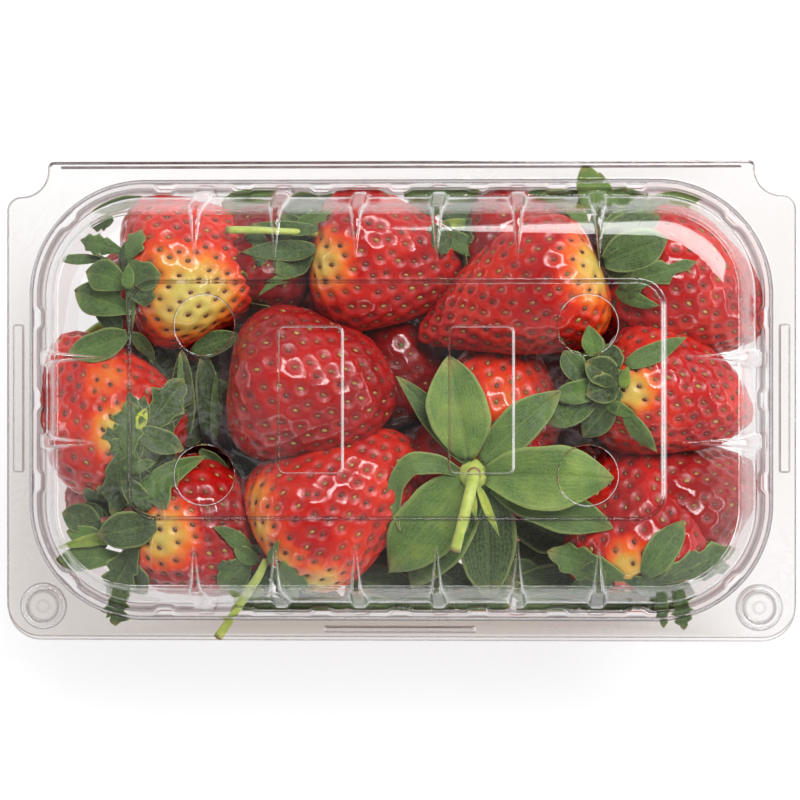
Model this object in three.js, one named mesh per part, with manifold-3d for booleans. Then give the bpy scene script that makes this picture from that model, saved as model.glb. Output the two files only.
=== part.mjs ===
// Hinged clear punnet full of strawberries.
// Millimetres, +Z up. Origin at the middle of the footprint, on the surface it
// stands on. +Y is the hinge side, -Y the front with the two snap buttons.
import * as THREE from 'three';
import { mergeVertices } from 'three/addons/utils/BufferGeometryUtils.js';
import Module from 'manifold-3d';

const wasm = await Module();
wasm.setup();

// ---------------------------------------------------------------- dimensions
const FLANGE_HALF_L = 95;        // rim flange, half length (X)
const FLANGE_HALF_W = 58;        // rim flange, half width (Y)
const FLANGE_CORNER = 8.3;       // front corner radius
const LID_FRONT_SETBACK = 0.9;   // the lid's flange stops short of the tray's
const HINGE_HALF_L = 85.1;       // half length of the folded back edge
const NOTCH_R = 6.3;             // concave notch beside the fold
const SHEET = 0.5;               // sheet thickness
const TRAY_H = 55;               // top of the tray's flange
const FLANGE_GAP = 0.6;          // free space between the two flanges
const DOME_HALF_L = 89.4;        // outline of the domed part on the flange
const DOME_HALF_W = 53;
const DOME_CORNER = 28;
const LID_Z = TRAY_H + FLANGE_GAP + SHEET;   // top of the lid's flange

const RIB_PITCH_LONG = 18.9;     // ribs on the long walls
const RIB_N_LONG = 6;
const RIB_PITCH_SHORT = 20;      // ribs on the short walls
const RIB_N_SHORT = 2;
const LUG_PITCH_SHORT = 19.7;    // denesting lugs on the short walls
const LUG_DEPTH = 1.1;
const LUG_HALF = 2.7;

const PANEL_HALF_L = 61.7;       // raised flat panel on top
const PANEL_HALF_W = 27.1;
const PANEL_CORNER = 5.5;
const PANEL_Z = 26.1;            // above the lid's flange
const VENT_R = 7;                // four vent holes in the panel
const VENT_X = 44.7;
const VENT_Y = 17.5;
const PAD_X = 19.9;              // two upright pads pressed into the panel
const PAD_HALF_L = 7.7;
const PAD_HALF_W = 17.4;
const PAD_CORNER = 1.8;
const PAD_RISE = 0.6;

const BUTTON_X = 86;             // snap buttons at the front corners
const BUTTON_Y = -49.6;

// ------------------------------------------------------------------- helpers
const spaced = (n, pitch) => Array.from({ length: n }, (_, i) => (i - (n - 1) / 2) * pitch);
const RIBS = [spaced(RIB_N_SHORT, RIB_PITCH_SHORT), spaced(RIB_N_LONG, RIB_PITCH_LONG)];
const LUGS = [spaced(3, LUG_PITCH_SHORT), spaced(RIB_N_LONG + 1, RIB_PITCH_LONG)];
const ARC = Array.from({ length: 6 }, (_, i) => [((i + 1) * 90) / 7, 0]);
const ARC_LUG = [[12.9, 0], [25.7, 0], [38.8, 0], [41.2, -1], [48.8, -1], [51.2, 0], [64.3, 0], [77.1, 0]];
const NORMALS = [[1, 0], [0, 1], [-1, 0], [0, -1]];

// One closed ring of points round a rounded rectangle. `features` are bumps on
// the straight sides: positions along each side and a profile of [offset, push]
// pairs, pushed out by depth along the wall's own normal (nu outward, nz up).
function ring(row, features = null) {
  const { hx, hy, r, z, nu = 1, nz = 0 } = row;
  const arc = features?.arc ?? ARC;
  const depth = features?.depth ?? 0;
  const points = [];
  for (let s = 0; s < 4; s++) {
    const [nx, ny] = NORMALS[s];
    const [tx, ty] = [-ny, nx];
    const a = (s % 2 ? hx : hy) - r;
    const h = s % 2 ? hy : hx;
    const stations = [[-a, 0]];
    if (features) {
      for (const c of features.at[s % 2]) {
        for (const [u, d] of features.profile) stations.push([c + u, d * depth]);
      }
    }
    stations.push([a, 0]);
    for (const [u, d] of stations) {
      points.push([nx * (h + d * nu) + tx * u, ny * (h + d * nu) + ty * u, z + d * nz]);
    }
    const cx = nx * (h - r) + tx * a;
    const cy = ny * (h - r) + ty * a;
    const a0 = Math.atan2(ny, nx);
    for (const [deg, d] of arc) {
      const q = a0 + (deg * Math.PI) / 180;
      points.push([cx + Math.cos(q) * (r + d * depth), cy + Math.sin(q) * (r + d * depth), z]);
    }
  }
  return points;
}

// A circle as a ring.
function circle(cx, cy, r, z, n = 14) {
  return Array.from({ length: n }, (_, i) => {
    const q = (i / n) * 2 * Math.PI;
    return [cx + r * Math.cos(q), cy + r * Math.sin(q), z];
  });
}

// A small rounded rectangle as a ring.
function patch(cx, cy, hx, hy, r, z) {
  const points = [];
  for (let s = 0; s < 4; s++) {
    const [nx, ny] = NORMALS[s];
    const [tx, ty] = [-ny, nx];
    const a = (s % 2 ? hx : hy) - r;
    const h = s % 2 ? hy : hx;
    const a0 = Math.atan2(ny, nx);
    for (const deg of [0, 45, 90]) {
      const q = a0 + (deg * Math.PI) / 180;
      points.push([cx + nx * (h - r) + tx * a + Math.cos(q) * r, cy + ny * (h - r) + ty * a + Math.sin(q) * r, z]);
    }
  }
  return points;
}

// Offsets an open profile of rows to its lower side by the sheet thickness.
// The profile runs from the outside in; u is the outward distance.
function offsetRows(rows, t) {
  const u = rows.map((p) => (p.hx + p.hy) / 2);
  return rows.map((p, i) => {
    const dirs = [];
    const before = i > 0 ? [u[i] - u[i - 1], p.z - rows[i - 1].z] : [-1, 0];
    const after = i < rows.length - 1 ? [u[i + 1] - u[i], rows[i + 1].z - p.z] : [-1, 0];
    for (const [du, dz] of [before, after]) {
      const l = Math.hypot(du, dz);
      dirs.push([dz / l, -du / l]);          // upper-side normal of a run going inwards
    }
    const n = [dirs[0][0] + dirs[1][0], dirs[0][1] + dirs[1][1]];
    const dot = 1 + dirs[0][0] * dirs[1][0] + dirs[0][1] * dirs[1][1];
    const m = [n[0] / dot, n[1] / dot];
    const l = Math.hypot(...m);
    p.nu = m[0] / l;
    p.nz = m[1] / l;
    return { hx: p.hx - m[0] * t, hy: p.hy - m[0] * t, r: Math.max(p.r - m[0] * t, 0.6), z: p.z - m[1] * t, nu: p.nu, nz: p.nz };
  });
}

class Skin {
  constructor() { this.tri = []; }
  face(a, b, c) { this.tri.push(...a, ...b, ...c); }
  // Joins two closed rings, which may have different counts, along the
  // shortest diagonals. Faces point to the left of a -> b seen along the ring.
  strip(a, b) {
    let j0 = 0;
    let best = Infinity;
    b.forEach((q, k) => {
      const d = Math.hypot(a[0][0] - q[0], a[0][1] - q[1], a[0][2] - q[2]);
      if (d < best) { best = d; j0 = k; }
    });
    const n = a.length;
    const m = b.length;
    const B = (k) => b[(j0 + k) % m];
    const A = (k) => a[k % n];
    const d = (p, q) => Math.hypot(p[0] - q[0], p[1] - q[1], p[2] - q[2]);
    let i = 0;
    let j = 0;
    while (i < n || j < m) {
      const takeA = j >= m || (i < n && d(A(i + 1), B(j)) <= d(A(i), B(j + 1)));
      if (takeA) { this.face(A(i), A(i + 1), B(j)); i++; } else { this.face(A(i), B(j + 1), B(j)); j++; }
    }
  }
  // A flat face bounded by a contour with holes, facing up or down.
  flat(contour, holes, up) {
    const v2 = (loop) => loop.map((p) => new THREE.Vector2(p[0], p[1]));
    const all = [...contour, ...holes.flat()];
    for (const f of THREE.ShapeUtils.triangulateShape(v2(contour), holes.map(v2))) {
      const [p, q, r] = f.map((k) => all[k]);
      const area = (q[0] - p[0]) * (r[1] - p[1]) - (q[1] - p[1]) * (r[0] - p[0]);
      if (area > 0 === up) this.face(p, q, r); else this.face(p, r, q);
    }
  }
  geometry() {
    const g = new THREE.BufferGeometry();
    g.setAttribute('position', new THREE.Float32BufferAttribute(this.tri, 3));
    return mergeVertices(g, 1e-4);
  }
}

// The flange's outline seen from above, counter-clockwise.
function outline(front, z) {
  const p = [];
  const L = FLANGE_HALF_L;
  const W = FLANGE_HALF_W;
  const right = [];
  for (let q = 0; q <= 6; q++) {       // front corner
    const a = -Math.PI / 2 + (q / 6) * (Math.PI / 2);
    right.push([L - FLANGE_CORNER + FLANGE_CORNER * Math.cos(a), front + FLANGE_CORNER + FLANGE_CORNER * Math.sin(a)]);
  }
  const shoulder = 3.5;
  const notchX = HINGE_HALF_L + NOTCH_R;
  const notchY = W - 2.6;
  for (let q = 0; q <= 4; q++) {       // rounded shoulder before the notch
    const a = (q / 4) * (Math.PI / 2);
    right.push([L - shoulder + shoulder * Math.cos(a), notchY - NOTCH_R - shoulder + shoulder * Math.sin(a)]);
  }
  for (let q = 0; q <= 5; q++) {       // concave notch up to the fold
    const a = -Math.PI / 2 - (q / 5) * (Math.PI / 2);
    right.push([notchX + NOTCH_R * Math.cos(a), notchY + NOTCH_R * Math.sin(a)]);
  }
  right.push([HINGE_HALF_L, W]);
  for (const [x, y] of right) p.push([x, y, z]);
  for (const [x, y] of [...right].reverse()) p.push([-x, y, z]);
  // drop doubled points
  return p.filter((q, i) => {
    const o = p[(i + p.length - 1) % p.length];
    return Math.hypot(q[0] - o[0], q[1] - o[1]) > 1e-3;
  });
}

const RIB = (half) => [[-half, 0], [-0.62 * half, 1], [0.62 * half, 1], [half, 0]];
const LUG = [[-LUG_HALF, 0], [-0.62 * LUG_HALF, -1], [0.62 * LUG_HALF, -1], [LUG_HALF, 0]];

// ----------------------------------------------------------------------- lid
function makeLid() {
  const L = DOME_HALF_L;
  const W = DOME_HALF_W;
  const at = (inset, z, extra = {}) => ({ hx: L - inset, hy: W - inset, r: DOME_CORNER - inset, z: LID_Z + z, ...extra });
  const top = [
    at(0, 0),
    at(0.8, 3.0),
    at(2.2, 3.0, { lug: true }),
    at(2.35, 2.2, { lug: true }),
    at(4.3, 2.2, { rib: [1.95, 1.1], flatRib: true }),
    at(5.1, 5.5, { rib: [1.9, 1.15] }),
    at(7.6, 18, { rib: [1.6, 1.0] }),
    at(8.4, 21.2, { rib: [1.3, 0.85] }),
    at(10.4, 23.1, { rib: [0.9, 0.6] }),
    { hx: 73.5, hy: 37.6, r: 13.5, z: LID_Z + 24.4 },
    { hx: PANEL_HALF_L + 0.7, hy: PANEL_HALF_W + 0.7, r: PANEL_CORNER + 0.7, z: LID_Z + PANEL_Z - 0.7 },
    { hx: PANEL_HALF_L, hy: PANEL_HALF_W, r: PANEL_CORNER, z: LID_Z + PANEL_Z },
  ];
  const under = offsetRows(top, SHEET);
  const features = (row) => {
    if (row.lug) return { at: LUGS, profile: LUG, depth: LUG_DEPTH, arc: ARC_LUG };
    if (row.rib) return { at: RIBS, profile: RIB(row.rib[0]), depth: row.rib[1] };
    return null;
  };
  const upper = top.map((row) => ring(row.flatRib || row.lug ? { ...row, nu: 1, nz: 0 } : row, features(row)));
  const lower = under.map((row, i) => {
    const src = top[i];
    return ring(src.flatRib ? { ...row, nu: 1, nz: 0 } : row, src.lug ? null : features(src));
  });

  const skin = new Skin();
  for (let i = 0; i + 1 < upper.length; i++) {
    skin.strip(upper[i], upper[i + 1]);
    skin.strip(lower[i + 1], lower[i]);
  }
  // the strip from lower[i+1] to lower[i] faces down because the order is swapped

  // flange with its pads and snap buttons
  const zTop = LID_Z;
  const zLow = LID_Z - SHEET;
  const rim = outline(-FLANGE_HALF_W + LID_FRONT_SETBACK, zTop);
  const rimLow = outline(-FLANGE_HALF_W + LID_FRONT_SETBACK, zLow);
  const holesUp = [upper[0]];
  const holesLow = [lower[0]];
  const pads = [
    [0, -55.2, 18.3, 1.5, 0.6],                         // finger tab at the front
    [91.7, 0.4, 1.35, 17.9, 0.5], [-91.7, 0.4, 1.35, 17.9, 0.5],   // side strips
  ];
  for (const [cx, cy, hx, hy, r] of pads) {
    const foot = patch(cx, cy, hx, hy, r, zTop);
    const head = patch(cx, cy, hx - 0.3, hy - 0.3, r, zTop + 0.6);
    skin.strip(foot, head);
    skin.flat(head, [], true);
    holesUp.push(foot);
  }
  for (const side of [-1, 1]) {
    const cx = side * BUTTON_X;
    const profile = [[5.5, 0], [5.0, 1.7], [3.9, 1.7], [3.6, 1.1]];
    const up = profile.map(([r, z]) => circle(cx, BUTTON_Y, r, zTop + z));
    const low = [[5.02, 0], [4.55, 1.7], [3.35, 1.1]].map(([r, z]) => circle(cx, BUTTON_Y, r, zLow + z));
    for (let i = 0; i + 1 < up.length; i++) skin.strip(up[i], up[i + 1]);
    skin.flat(up.at(-1), [], true);
    for (let i = 0; i + 1 < low.length; i++) skin.strip(low[i + 1], low[i]);
    skin.flat(low.at(-1), [], false);
    holesUp.push(up[0]);
    holesLow.push(low[0]);
  }
  skin.flat(rim, holesUp, true);
  skin.flat(rimLow, holesLow, false);
  skin.strip(rimLow, rim);

  // panel with vent holes and two upright pads
  const zP = LID_Z + PANEL_Z;
  const zPl = under.at(-1).z;
  const vents = [[1, 1], [-1, 1], [-1, -1], [1, -1]].map(([sx, sy]) => [sx * VENT_X, sy * VENT_Y]);
  const ventsUp = vents.map(([x, y]) => circle(x, y, VENT_R, zP));
  const ventsLow = vents.map(([x, y]) => circle(x, y, VENT_R, zPl));
  ventsUp.forEach((c, i) => skin.strip(c, ventsLow[i]));
  const padFoot = [-1, 1].map((s) => patch(s * PAD_X, 0, PAD_HALF_L, PAD_HALF_W, PAD_CORNER, zP));
  padFoot.forEach((foot, i) => {
    const head = patch((i ? 1 : -1) * PAD_X, 0, PAD_HALF_L - 0.4, PAD_HALF_W - 0.4, PAD_CORNER - 0.2, zP + PAD_RISE);
    skin.strip(foot, head);
    skin.flat(head, [], true);
  });
  skin.flat(upper.at(-1), [...ventsUp, ...padFoot], true);
  skin.flat(lower.at(-1), ventsLow, false);
  return skin.geometry();
}

// ---------------------------------------------------------------------- tray
const TRAY_ROWS = [                // inner face: inset from the dome outline, height
  [0.5, TRAY_H], [1.2, TRAY_H - 1.2], [1.9, TRAY_H - 3],
  [2.9, TRAY_H - 8], [6.2, 28], [9.2, 10], [11.2, 4], [15, SHEET],
];
const TRAY_RIBS = { 2: [2.0, 0], 3: [1.9, 1.1], 4: [1.3, 0.8], 5: [0.9, 0] };   // row: [half width, depth]

function makeTray() {
  const top = TRAY_ROWS.map(([inset, z]) => ({
    hx: DOME_HALF_L - inset, hy: DOME_HALF_W - inset, r: DOME_CORNER - inset, z,
  }));
  const under = offsetRows(top, SHEET);
  const features = (i) => (TRAY_RIBS[i] ? { at: RIBS, profile: RIB(TRAY_RIBS[i][0]), depth: TRAY_RIBS[i][1] } : null);
  const flatten = (row) => ({ ...row, nu: 1, nz: 0 });      // tray ribs push straight out
  const upper = top.map((row, i) => ring(flatten(row), features(i)));
  const lower = under.map((row, i) => ring(flatten(row), features(i)));
  const skin = new Skin();
  for (let i = 0; i + 1 < upper.length; i++) {
    skin.strip(upper[i], upper[i + 1]);
    skin.strip(lower[i + 1], lower[i]);
  }
  skin.flat(upper.at(-1), [], true);
  skin.flat(lower.at(-1), [], false);
  const rim = outline(-FLANGE_HALF_W, TRAY_H);
  const rimLow = outline(-FLANGE_HALF_W, TRAY_H - SHEET);
  const holesUp = [upper[0]];
  const holesLow = [lower[0]];
  for (const side of [-1, 1]) {
    const cx = side * BUTTON_X;
    const up = [[4.25, 0], [3.85, 1.2]].map(([r, z]) => circle(cx, BUTTON_Y, r, TRAY_H + z));
    const low = [[3.8, 0], [3.4, 1.2]].map(([r, z]) => circle(cx, BUTTON_Y, r, TRAY_H - SHEET + z));
    skin.strip(up[0], up[1]);
    skin.flat(up[1], [], true);
    skin.strip(low[1], low[0]);
    skin.flat(low[1], [], false);
    holesUp.push(up[0]);
    holesLow.push(low[0]);
  }
  skin.flat(rim, holesUp, true);
  skin.flat(rimLow, holesLow, false);
  skin.strip(rimLow, rim);
  return skin.geometry();
}

// -------------------------------------------------------------------- berries
// [x, y, z of the middle, heading of the tip in degrees from +X, dip of the tip
//  below level in degrees, length, width]
const UPPER = [
  [-51, 29.5, 55.5, 10, 10, 38, 36],
  [-4.8, 29.5, 57, -8, 6, 41, 34.5],
  [29, 24.5, 58, 202, 3, 50, 35],
  [66, 26, 52, -25, 10, 42, 37],
  [-67, -2.5, 56, 140, 8, 42, 37],
  [-23.2, 3.2, 60.5, -8, 4, 43, 38],
  [-16.6, -24, 59, 36, 0, 46, 36],
  [-48.5, -28.5, 54, -25, 6, 37, 34],
  [24, 1.5, 48, 80, 15, 36, 32],
  [64, 1, 57.5, -10, 6, 42, 35],
  [56.5, -28, 53, 96, 4, 39, 36],
  [19, -16.5, 50, 270, 82, 38, 34],
];
const MIDDLE = [
  [-32, 30, 40, 60, 25, 34, 30],
  [18, 33, 38, 100, 30, 32, 27],
  [64, -24, 37, 20, 20, 36, 31],
  [-70, -21, 36, 200, 20, 34, 29],
  [0, 8, 38, 0, 40, 36, 32],
  [38, -24, 34, 290, 30, 32, 27],
];
const BASE_COLUMNS = 4;
const BASE_ROWS = 2;

// Radius of a strawberry, as a share of half its width, along its length.
const BODY = [[0.0, 0.42], [0.05, 0.68], [0.14, 0.88], [0.27, 1.0], [0.42, 0.96], [0.6, 0.78], [0.78, 0.52], [0.92, 0.25]];

function strawberry(sides, stations) {
  const profile = [new THREE.Vector2(0, 0.015)];
  for (const k of stations) profile.push(new THREE.Vector2(BODY[k][1] / 2, BODY[k][0]));
  profile.push(new THREE.Vector2(0, 1));
  return new THREE.LatheGeometry(profile, sides);          // along +Y, closed on its axis
}

function solid(geometry) {
  const g = geometry.clone();
  g.deleteAttribute('normal');
  g.deleteAttribute('uv');
  const m = mergeVertices(g, 1e-4);
  const mesh = new wasm.Mesh({
    numProp: 3,
    vertProperties: new Float32Array(m.attributes.position.array),
    triVerts: new Uint32Array(m.index.array),
  });
  return new wasm.Manifold(mesh);
}

function placed(geometry, [x, y, z, heading, dip, length, width]) {
  const h = THREE.MathUtils.degToRad(heading);
  const d = THREE.MathUtils.degToRad(dip);
  const tip = new THREE.Vector3(Math.cos(h) * Math.cos(d), Math.sin(h) * Math.cos(d), -Math.sin(d));
  const turn = new THREE.Quaternion().setFromUnitVectors(new THREE.Vector3(0, 1, 0), tip);
  const start = new THREE.Vector3(x, y, z).addScaledVector(tip, -length * 0.46);
  const matrix = new THREE.Matrix4().compose(start, turn, new THREE.Vector3(1, 1, 1));
  return geometry.clone().scale(width, length, width).applyMatrix4(matrix);
}

// The stack of berries under the visible ones, kept inside the tray's walls.
function baseLayer() {
  const list = [];
  const halfX = 60;
  const halfY = 21.5;
  for (let i = 0; i < BASE_COLUMNS; i++) {
    for (let j = 0; j < BASE_ROWS; j++) {
      const k = i * BASE_ROWS + j;
      const wobble = Math.sin(k * 2.4);
      const size = 36 + 2 * Math.sin(k * 1.7);
      list.push([
        (i / (BASE_COLUMNS - 1) * 2 - 1) * halfX + 1.5 * wobble,
        (j / (BASE_ROWS - 1) * 2 - 1) * halfY + Math.cos(k * 3.1),
        19.6 + 0.5 * wobble, k * 137.5, 12 * Math.cos(k * 1.3), size * 1.12, size,
      ]);
    }
  }
  return list;
}

// The free space inside the shut pack, as insets from the dome outline and
// heights: the fruit stays inside it, clear of both sheets.
const FREE_SPACE = [
  [15.8, SHEET + 0.35], [12, 4.6], [10.1, 10], [7.6, 28], [4.9, 47], [4.5, TRAY_H - 1.5],
  [6.4, TRAY_H + 0.5], [6.9, 61], [9.6, 68.6], [12.8, 73.0], [17.2, 76.6], [23.8, 79.4], [27.5, 80.2],
];

function freeSpace() {
  const rings = FREE_SPACE.map(([inset, z]) => ring({
    hx: DOME_HALF_L - inset, hy: DOME_HALF_W - inset, r: Math.max(DOME_CORNER - inset, 5), z,
  }));
  const skin = new Skin();
  for (let i = 0; i + 1 < rings.length; i++) skin.strip(rings[i], rings[i + 1]);
  skin.flat(rings[0], [], false);
  skin.flat(rings.at(-1), [], true);
  return skin.geometry();
}

// Keeps the shell with the largest volume, so no closed pocket is left inside.
function outerShell(geometry) {
  const index = geometry.index.array;
  const pos = geometry.attributes.position;
  const parent = Array.from({ length: pos.count }, (_, i) => i);
  const find = (i) => { while (parent[i] !== i) { parent[i] = parent[parent[i]]; i = parent[i]; } return i; };
  for (let i = 0; i < index.length; i += 3) {
    const a = find(index[i]);
    parent[find(index[i + 1])] = a;
    parent[find(index[i + 2])] = a;
  }
  const volume = new Map();
  const v = [0, 1, 2].map(() => new THREE.Vector3());
  for (let i = 0; i < index.length; i += 3) {
    v.forEach((p, k) => p.fromBufferAttribute(pos, index[i + k]));
    const key = find(index[i]);
    volume.set(key, (volume.get(key) ?? 0) + v[0].dot(v[1].clone().cross(v[2])) / 6);
  }
  const keep = [...volume.entries()].sort((a, b) => b[1] - a[1])[0][0];
  const kept = [];
  for (let i = 0; i < index.length; i += 3) {
    if (find(index[i]) === keep) kept.push(index[i], index[i + 1], index[i + 2]);
  }
  const out = geometry.clone();
  out.setIndex(kept);
  return out;
}

function makeBerries() {
  const fine = strawberry(9, [1, 2, 3, 5, 6, 7]);
  const plain = strawberry(7, [1, 3, 5, 6]);
  // a plug of packed fruit through the middle of the heap
  const core = new THREE.BoxGeometry(112, 50, 36).translate(0, 0, 27);
  let heap = solid(core);
  for (const b of UPPER) heap = heap.add(solid(placed(fine, b)));
  for (const b of [...MIDDLE, ...baseLayer()]) heap = heap.add(solid(placed(plain, b)));
  heap = heap.intersect(solid(freeSpace()));
  const mesh = heap.getMesh();
  const g = new THREE.BufferGeometry();
  g.setAttribute('position', new THREE.BufferAttribute(new Float32Array(mesh.vertProperties), 3));
  g.setIndex(new THREE.BufferAttribute(new Uint32Array(mesh.triVerts), 1));
  return outerShell(mergeVertices(g, 1e-4));
}

// --------------------------------------------------------------- scene graph
const clear = { color: 0xeef3f2, roughness: 0.08, metalness: 0, transparent: true, opacity: 0.3 };
const part = new THREE.Group();
const add = (name, geometry, material) => {
  geometry.computeVertexNormals();
  const mesh = new THREE.Mesh(geometry, new THREE.MeshStandardMaterial(material));
  mesh.name = name;
  part.add(mesh);
  return mesh;
};
add('tray', makeTray(), clear);
add('lid', makeLid(), clear);
add('berries', makeBerries(), { color: 0xc3201a, roughness: 0.35, metalness: 0 });

export default part;
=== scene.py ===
import math

import bpy
import numpy as np
from mathutils import Matrix, Vector, geometry


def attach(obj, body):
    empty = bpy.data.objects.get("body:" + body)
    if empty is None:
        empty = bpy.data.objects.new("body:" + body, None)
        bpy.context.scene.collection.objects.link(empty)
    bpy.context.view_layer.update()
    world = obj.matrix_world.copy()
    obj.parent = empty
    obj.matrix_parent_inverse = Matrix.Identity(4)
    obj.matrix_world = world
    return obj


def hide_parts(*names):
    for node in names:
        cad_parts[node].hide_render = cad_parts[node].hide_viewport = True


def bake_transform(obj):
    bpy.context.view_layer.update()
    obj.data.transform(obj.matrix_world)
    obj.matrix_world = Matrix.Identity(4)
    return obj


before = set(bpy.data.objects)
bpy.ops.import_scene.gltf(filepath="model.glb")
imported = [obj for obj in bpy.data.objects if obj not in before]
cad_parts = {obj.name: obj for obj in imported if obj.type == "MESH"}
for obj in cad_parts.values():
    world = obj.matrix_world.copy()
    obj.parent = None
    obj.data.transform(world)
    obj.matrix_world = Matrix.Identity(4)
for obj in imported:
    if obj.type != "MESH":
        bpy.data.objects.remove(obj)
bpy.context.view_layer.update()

MM = 0.001

# ------------------------------------------------------------------ camera
CAM = np.array([30.0, 0.0, 55.6 + 801.7])      # mm
TARGET = np.array([0.0, 0.0, 55.6])
LENS, SENSOR = 150.0, 36.0


def unit(v):
    v = np.asarray(v, float)
    return v / np.linalg.norm(v)


CF = unit(TARGET - CAM)
CR = unit(np.cross(CF, [0, 1, 0]))
CU = np.cross(CR, CF)


def at_px(px, py, z):
    """The point in mm at height z under a pixel of the 800 x 800 frame."""
    d = CF * LENS + CR * ((px - 400) / 800 * SENSOR) + CU * ((400 - py) / 800 * SENSOR)
    return CAM + d * ((z - CAM[2]) / d[2])


cam_data = bpy.data.cameras.new("camera")
cam_data.lens, cam_data.sensor_width = LENS, SENSOR
cam_data.clip_start, cam_data.clip_end = 0.01, 20
cam = bpy.data.objects.new("camera", cam_data)
bpy.context.scene.collection.objects.link(cam)
cam.location = Vector(CAM * MM)
cam.rotation_mode = "QUATERNION"
cam.rotation_quaternion = Matrix([CR, CU, -CF]).transposed().to_quaternion()
bpy.context.scene.camera = cam

scene = bpy.context.scene
scene.view_settings.view_transform = "Standard"
scene.view_settings.look = "None"
scene.view_settings.exposure = 0.0
scene.cycles.use_denoising = True
scene.cycles.max_bounces = 14
scene.cycles.transmission_bounces = 12
scene.cycles.transparent_max_bounces = 24
scene.cycles.glossy_bounces = 4
scene.cycles.diffuse_bounces = 3
scene.cycles.sample_clamp_indirect = 6.0


# --------------------------------------------------------------- node helper
def srgb(r, g, b):
    def f(c):
        c /= 255
        return c / 12.92 if c <= 0.04045 else ((c + 0.055) / 1.055) ** 2.4
    return (f(r), f(g), f(b), 1.0)


class Nodes:
    """Short calls for building a material's node tree."""

    def __init__(self, name):
        self.mat = bpy.data.materials.new(name)
        self.mat.use_nodes = True
        self.t = self.mat.node_tree
        self.t.nodes.clear()
        self.out = self.t.nodes.new("ShaderNodeOutputMaterial")

    def add(self, kind, **values):
        n = self.t.nodes.new("ShaderNode" + kind)
        for k, v in values.items():
            setattr(n, k, v)
        return n

    def link(self, a, b):
        self.t.links.new(a, b)

    def put(self, socket, value):
        if hasattr(value, "is_linked"):
            self.t.links.new(value, socket)
        else:
            socket.default_value = value

    def attr(self, name, vector=False):
        n = self.add("Attribute", attribute_name=name)
        return n.outputs["Vector" if vector else "Fac"]

    def coords(self):
        return self.add("TexCoord").outputs["Object"]

    def noise(self, vector, scale, detail=3.0, rough=0.55, distort=0.0):
        n = self.add("TexNoise")
        self.put(n.inputs["Vector"], vector)
        n.inputs["Scale"].default_value = scale
        n.inputs["Detail"].default_value = detail
        n.inputs["Roughness"].default_value = rough
        n.inputs["Distortion"].default_value = distort
        return n.outputs["Fac"]

    def math(self, op, a, b=None, c=None, clamp=False):
        n = self.add("Math", operation=op, use_clamp=clamp)
        self.put(n.inputs[0], a)
        if b is not None:
            self.put(n.inputs[1], b)
        if c is not None:
            self.put(n.inputs[2], c)
        return n.outputs[0]

    def ranged(self, v, a, b, c=0.0, d=1.0):
        n = self.add("MapRange", clamp=True)
        self.put(n.inputs[0], v)
        for i, x in enumerate((a, b, c, d)):
            n.inputs[i + 1].default_value = x
        return n.outputs[0]

    def ramp(self, v, stops, mode="LINEAR"):
        n = self.add("ValToRGB")
        n.color_ramp.interpolation = mode
        e = n.color_ramp.elements
        while len(e) < len(stops):
            e.new(0.5)
        for i, (p, c) in enumerate(stops):
            e[i].position = p
            e[i].color = c
        self.put(n.inputs[0], v)
        return n.outputs[0]

    def mix(self, f, a, b, mode="MIX"):
        n = self.add("Mix", data_type="RGBA", blend_type=mode)
        self.put(n.inputs[0], f)
        self.put(n.inputs[6], a)
        self.put(n.inputs[7], b)
        return n.outputs[2]

    def bump(self, height, strength, distance, normal=None):
        n = self.add("Bump")
        self.put(n.inputs["Height"], height)
        n.inputs["Strength"].default_value = strength
        n.inputs["Distance"].default_value = distance
        if normal is not None:
            self.link(normal, n.inputs["Normal"])
        return n.outputs["Normal"]

    def principled(self, **values):
        n = self.add("BsdfPrincipled")
        for k, v in values.items():
            self.put(n.inputs[k.replace("_", " ")], v)
        return n

    def done(self, shader):
        self.link(shader, self.out.inputs["Surface"])
        return self.mat


# ------------------------------------------------------------------ materials
def fruit_material():
    m = Nodes("strawberry_skin")
    co = m.coords()
    pale, pit, tint, rnd = m.attr("pale"), m.attr("pit"), m.attr("tint"), m.attr("blotch")
    gloss = m.attr("gloss")
    wide = m.noise(co, 90, 3)
    fine = m.noise(co, 900, 4, 0.6)
    t = m.math("ADD", tint, m.ranged(wide, 0.3, 0.7, -0.18, 0.18), clamp=True)
    red = m.ramp(t, [(0.0, srgb(74, 2, 8)), (0.35, srgb(122, 6, 12)), (0.7, srgb(168, 12, 12)), (1.0, srgb(206, 42, 14))])
    p = m.math("ADD", pale, m.ranged(m.noise(co, 260, 3), 0.3, 0.7, -0.10, 0.10), clamp=True)
    light = m.ramp(p, [(0.0, srgb(190, 26, 14)), (0.28, srgb(212, 64, 18)), (0.5, srgb(218, 116, 40)),
                       (0.7, srgb(206, 160, 70)), (1.0, srgb(196, 180, 92))])
    col = m.mix(m.ranged(p, 0.04, 0.24), red, light)
    # painted shade: the skin is darker in the pits round the seeds
    pit_shade = m.mix(m.ranged(p, 0.1, 0.8), srgb(84, 2, 6), srgb(170, 96, 34))
    col = m.mix(m.math("MULTIPLY", pit, 0.80), col, pit_shade)
    col = m.mix(m.ranged(fine, 0.35, 0.75, 0.0, 0.12), col, m.mix(0.4, col, srgb(240, 110, 84)))
    bump = m.bump(m.noise(co, 1500, 2), 0.16, 0.0003)
    rough = m.math("ADD", m.ranged(gloss, 0.10, 0.80, 0.46, 0.08), m.ranged(wide, 0.3, 0.7, 0.0, 0.10))
    b = m.principled(Base_Color=col, Roughness=rough, IOR=1.5, Coat_Weight=0.12, Coat_Roughness=0.06,
                     Subsurface_Weight=0.05, Subsurface_Scale=0.003, Normal=bump)
    b.inputs["Subsurface Radius"].default_value = (1.0, 0.22, 0.10)
    return m.done(b.outputs[0])


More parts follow.
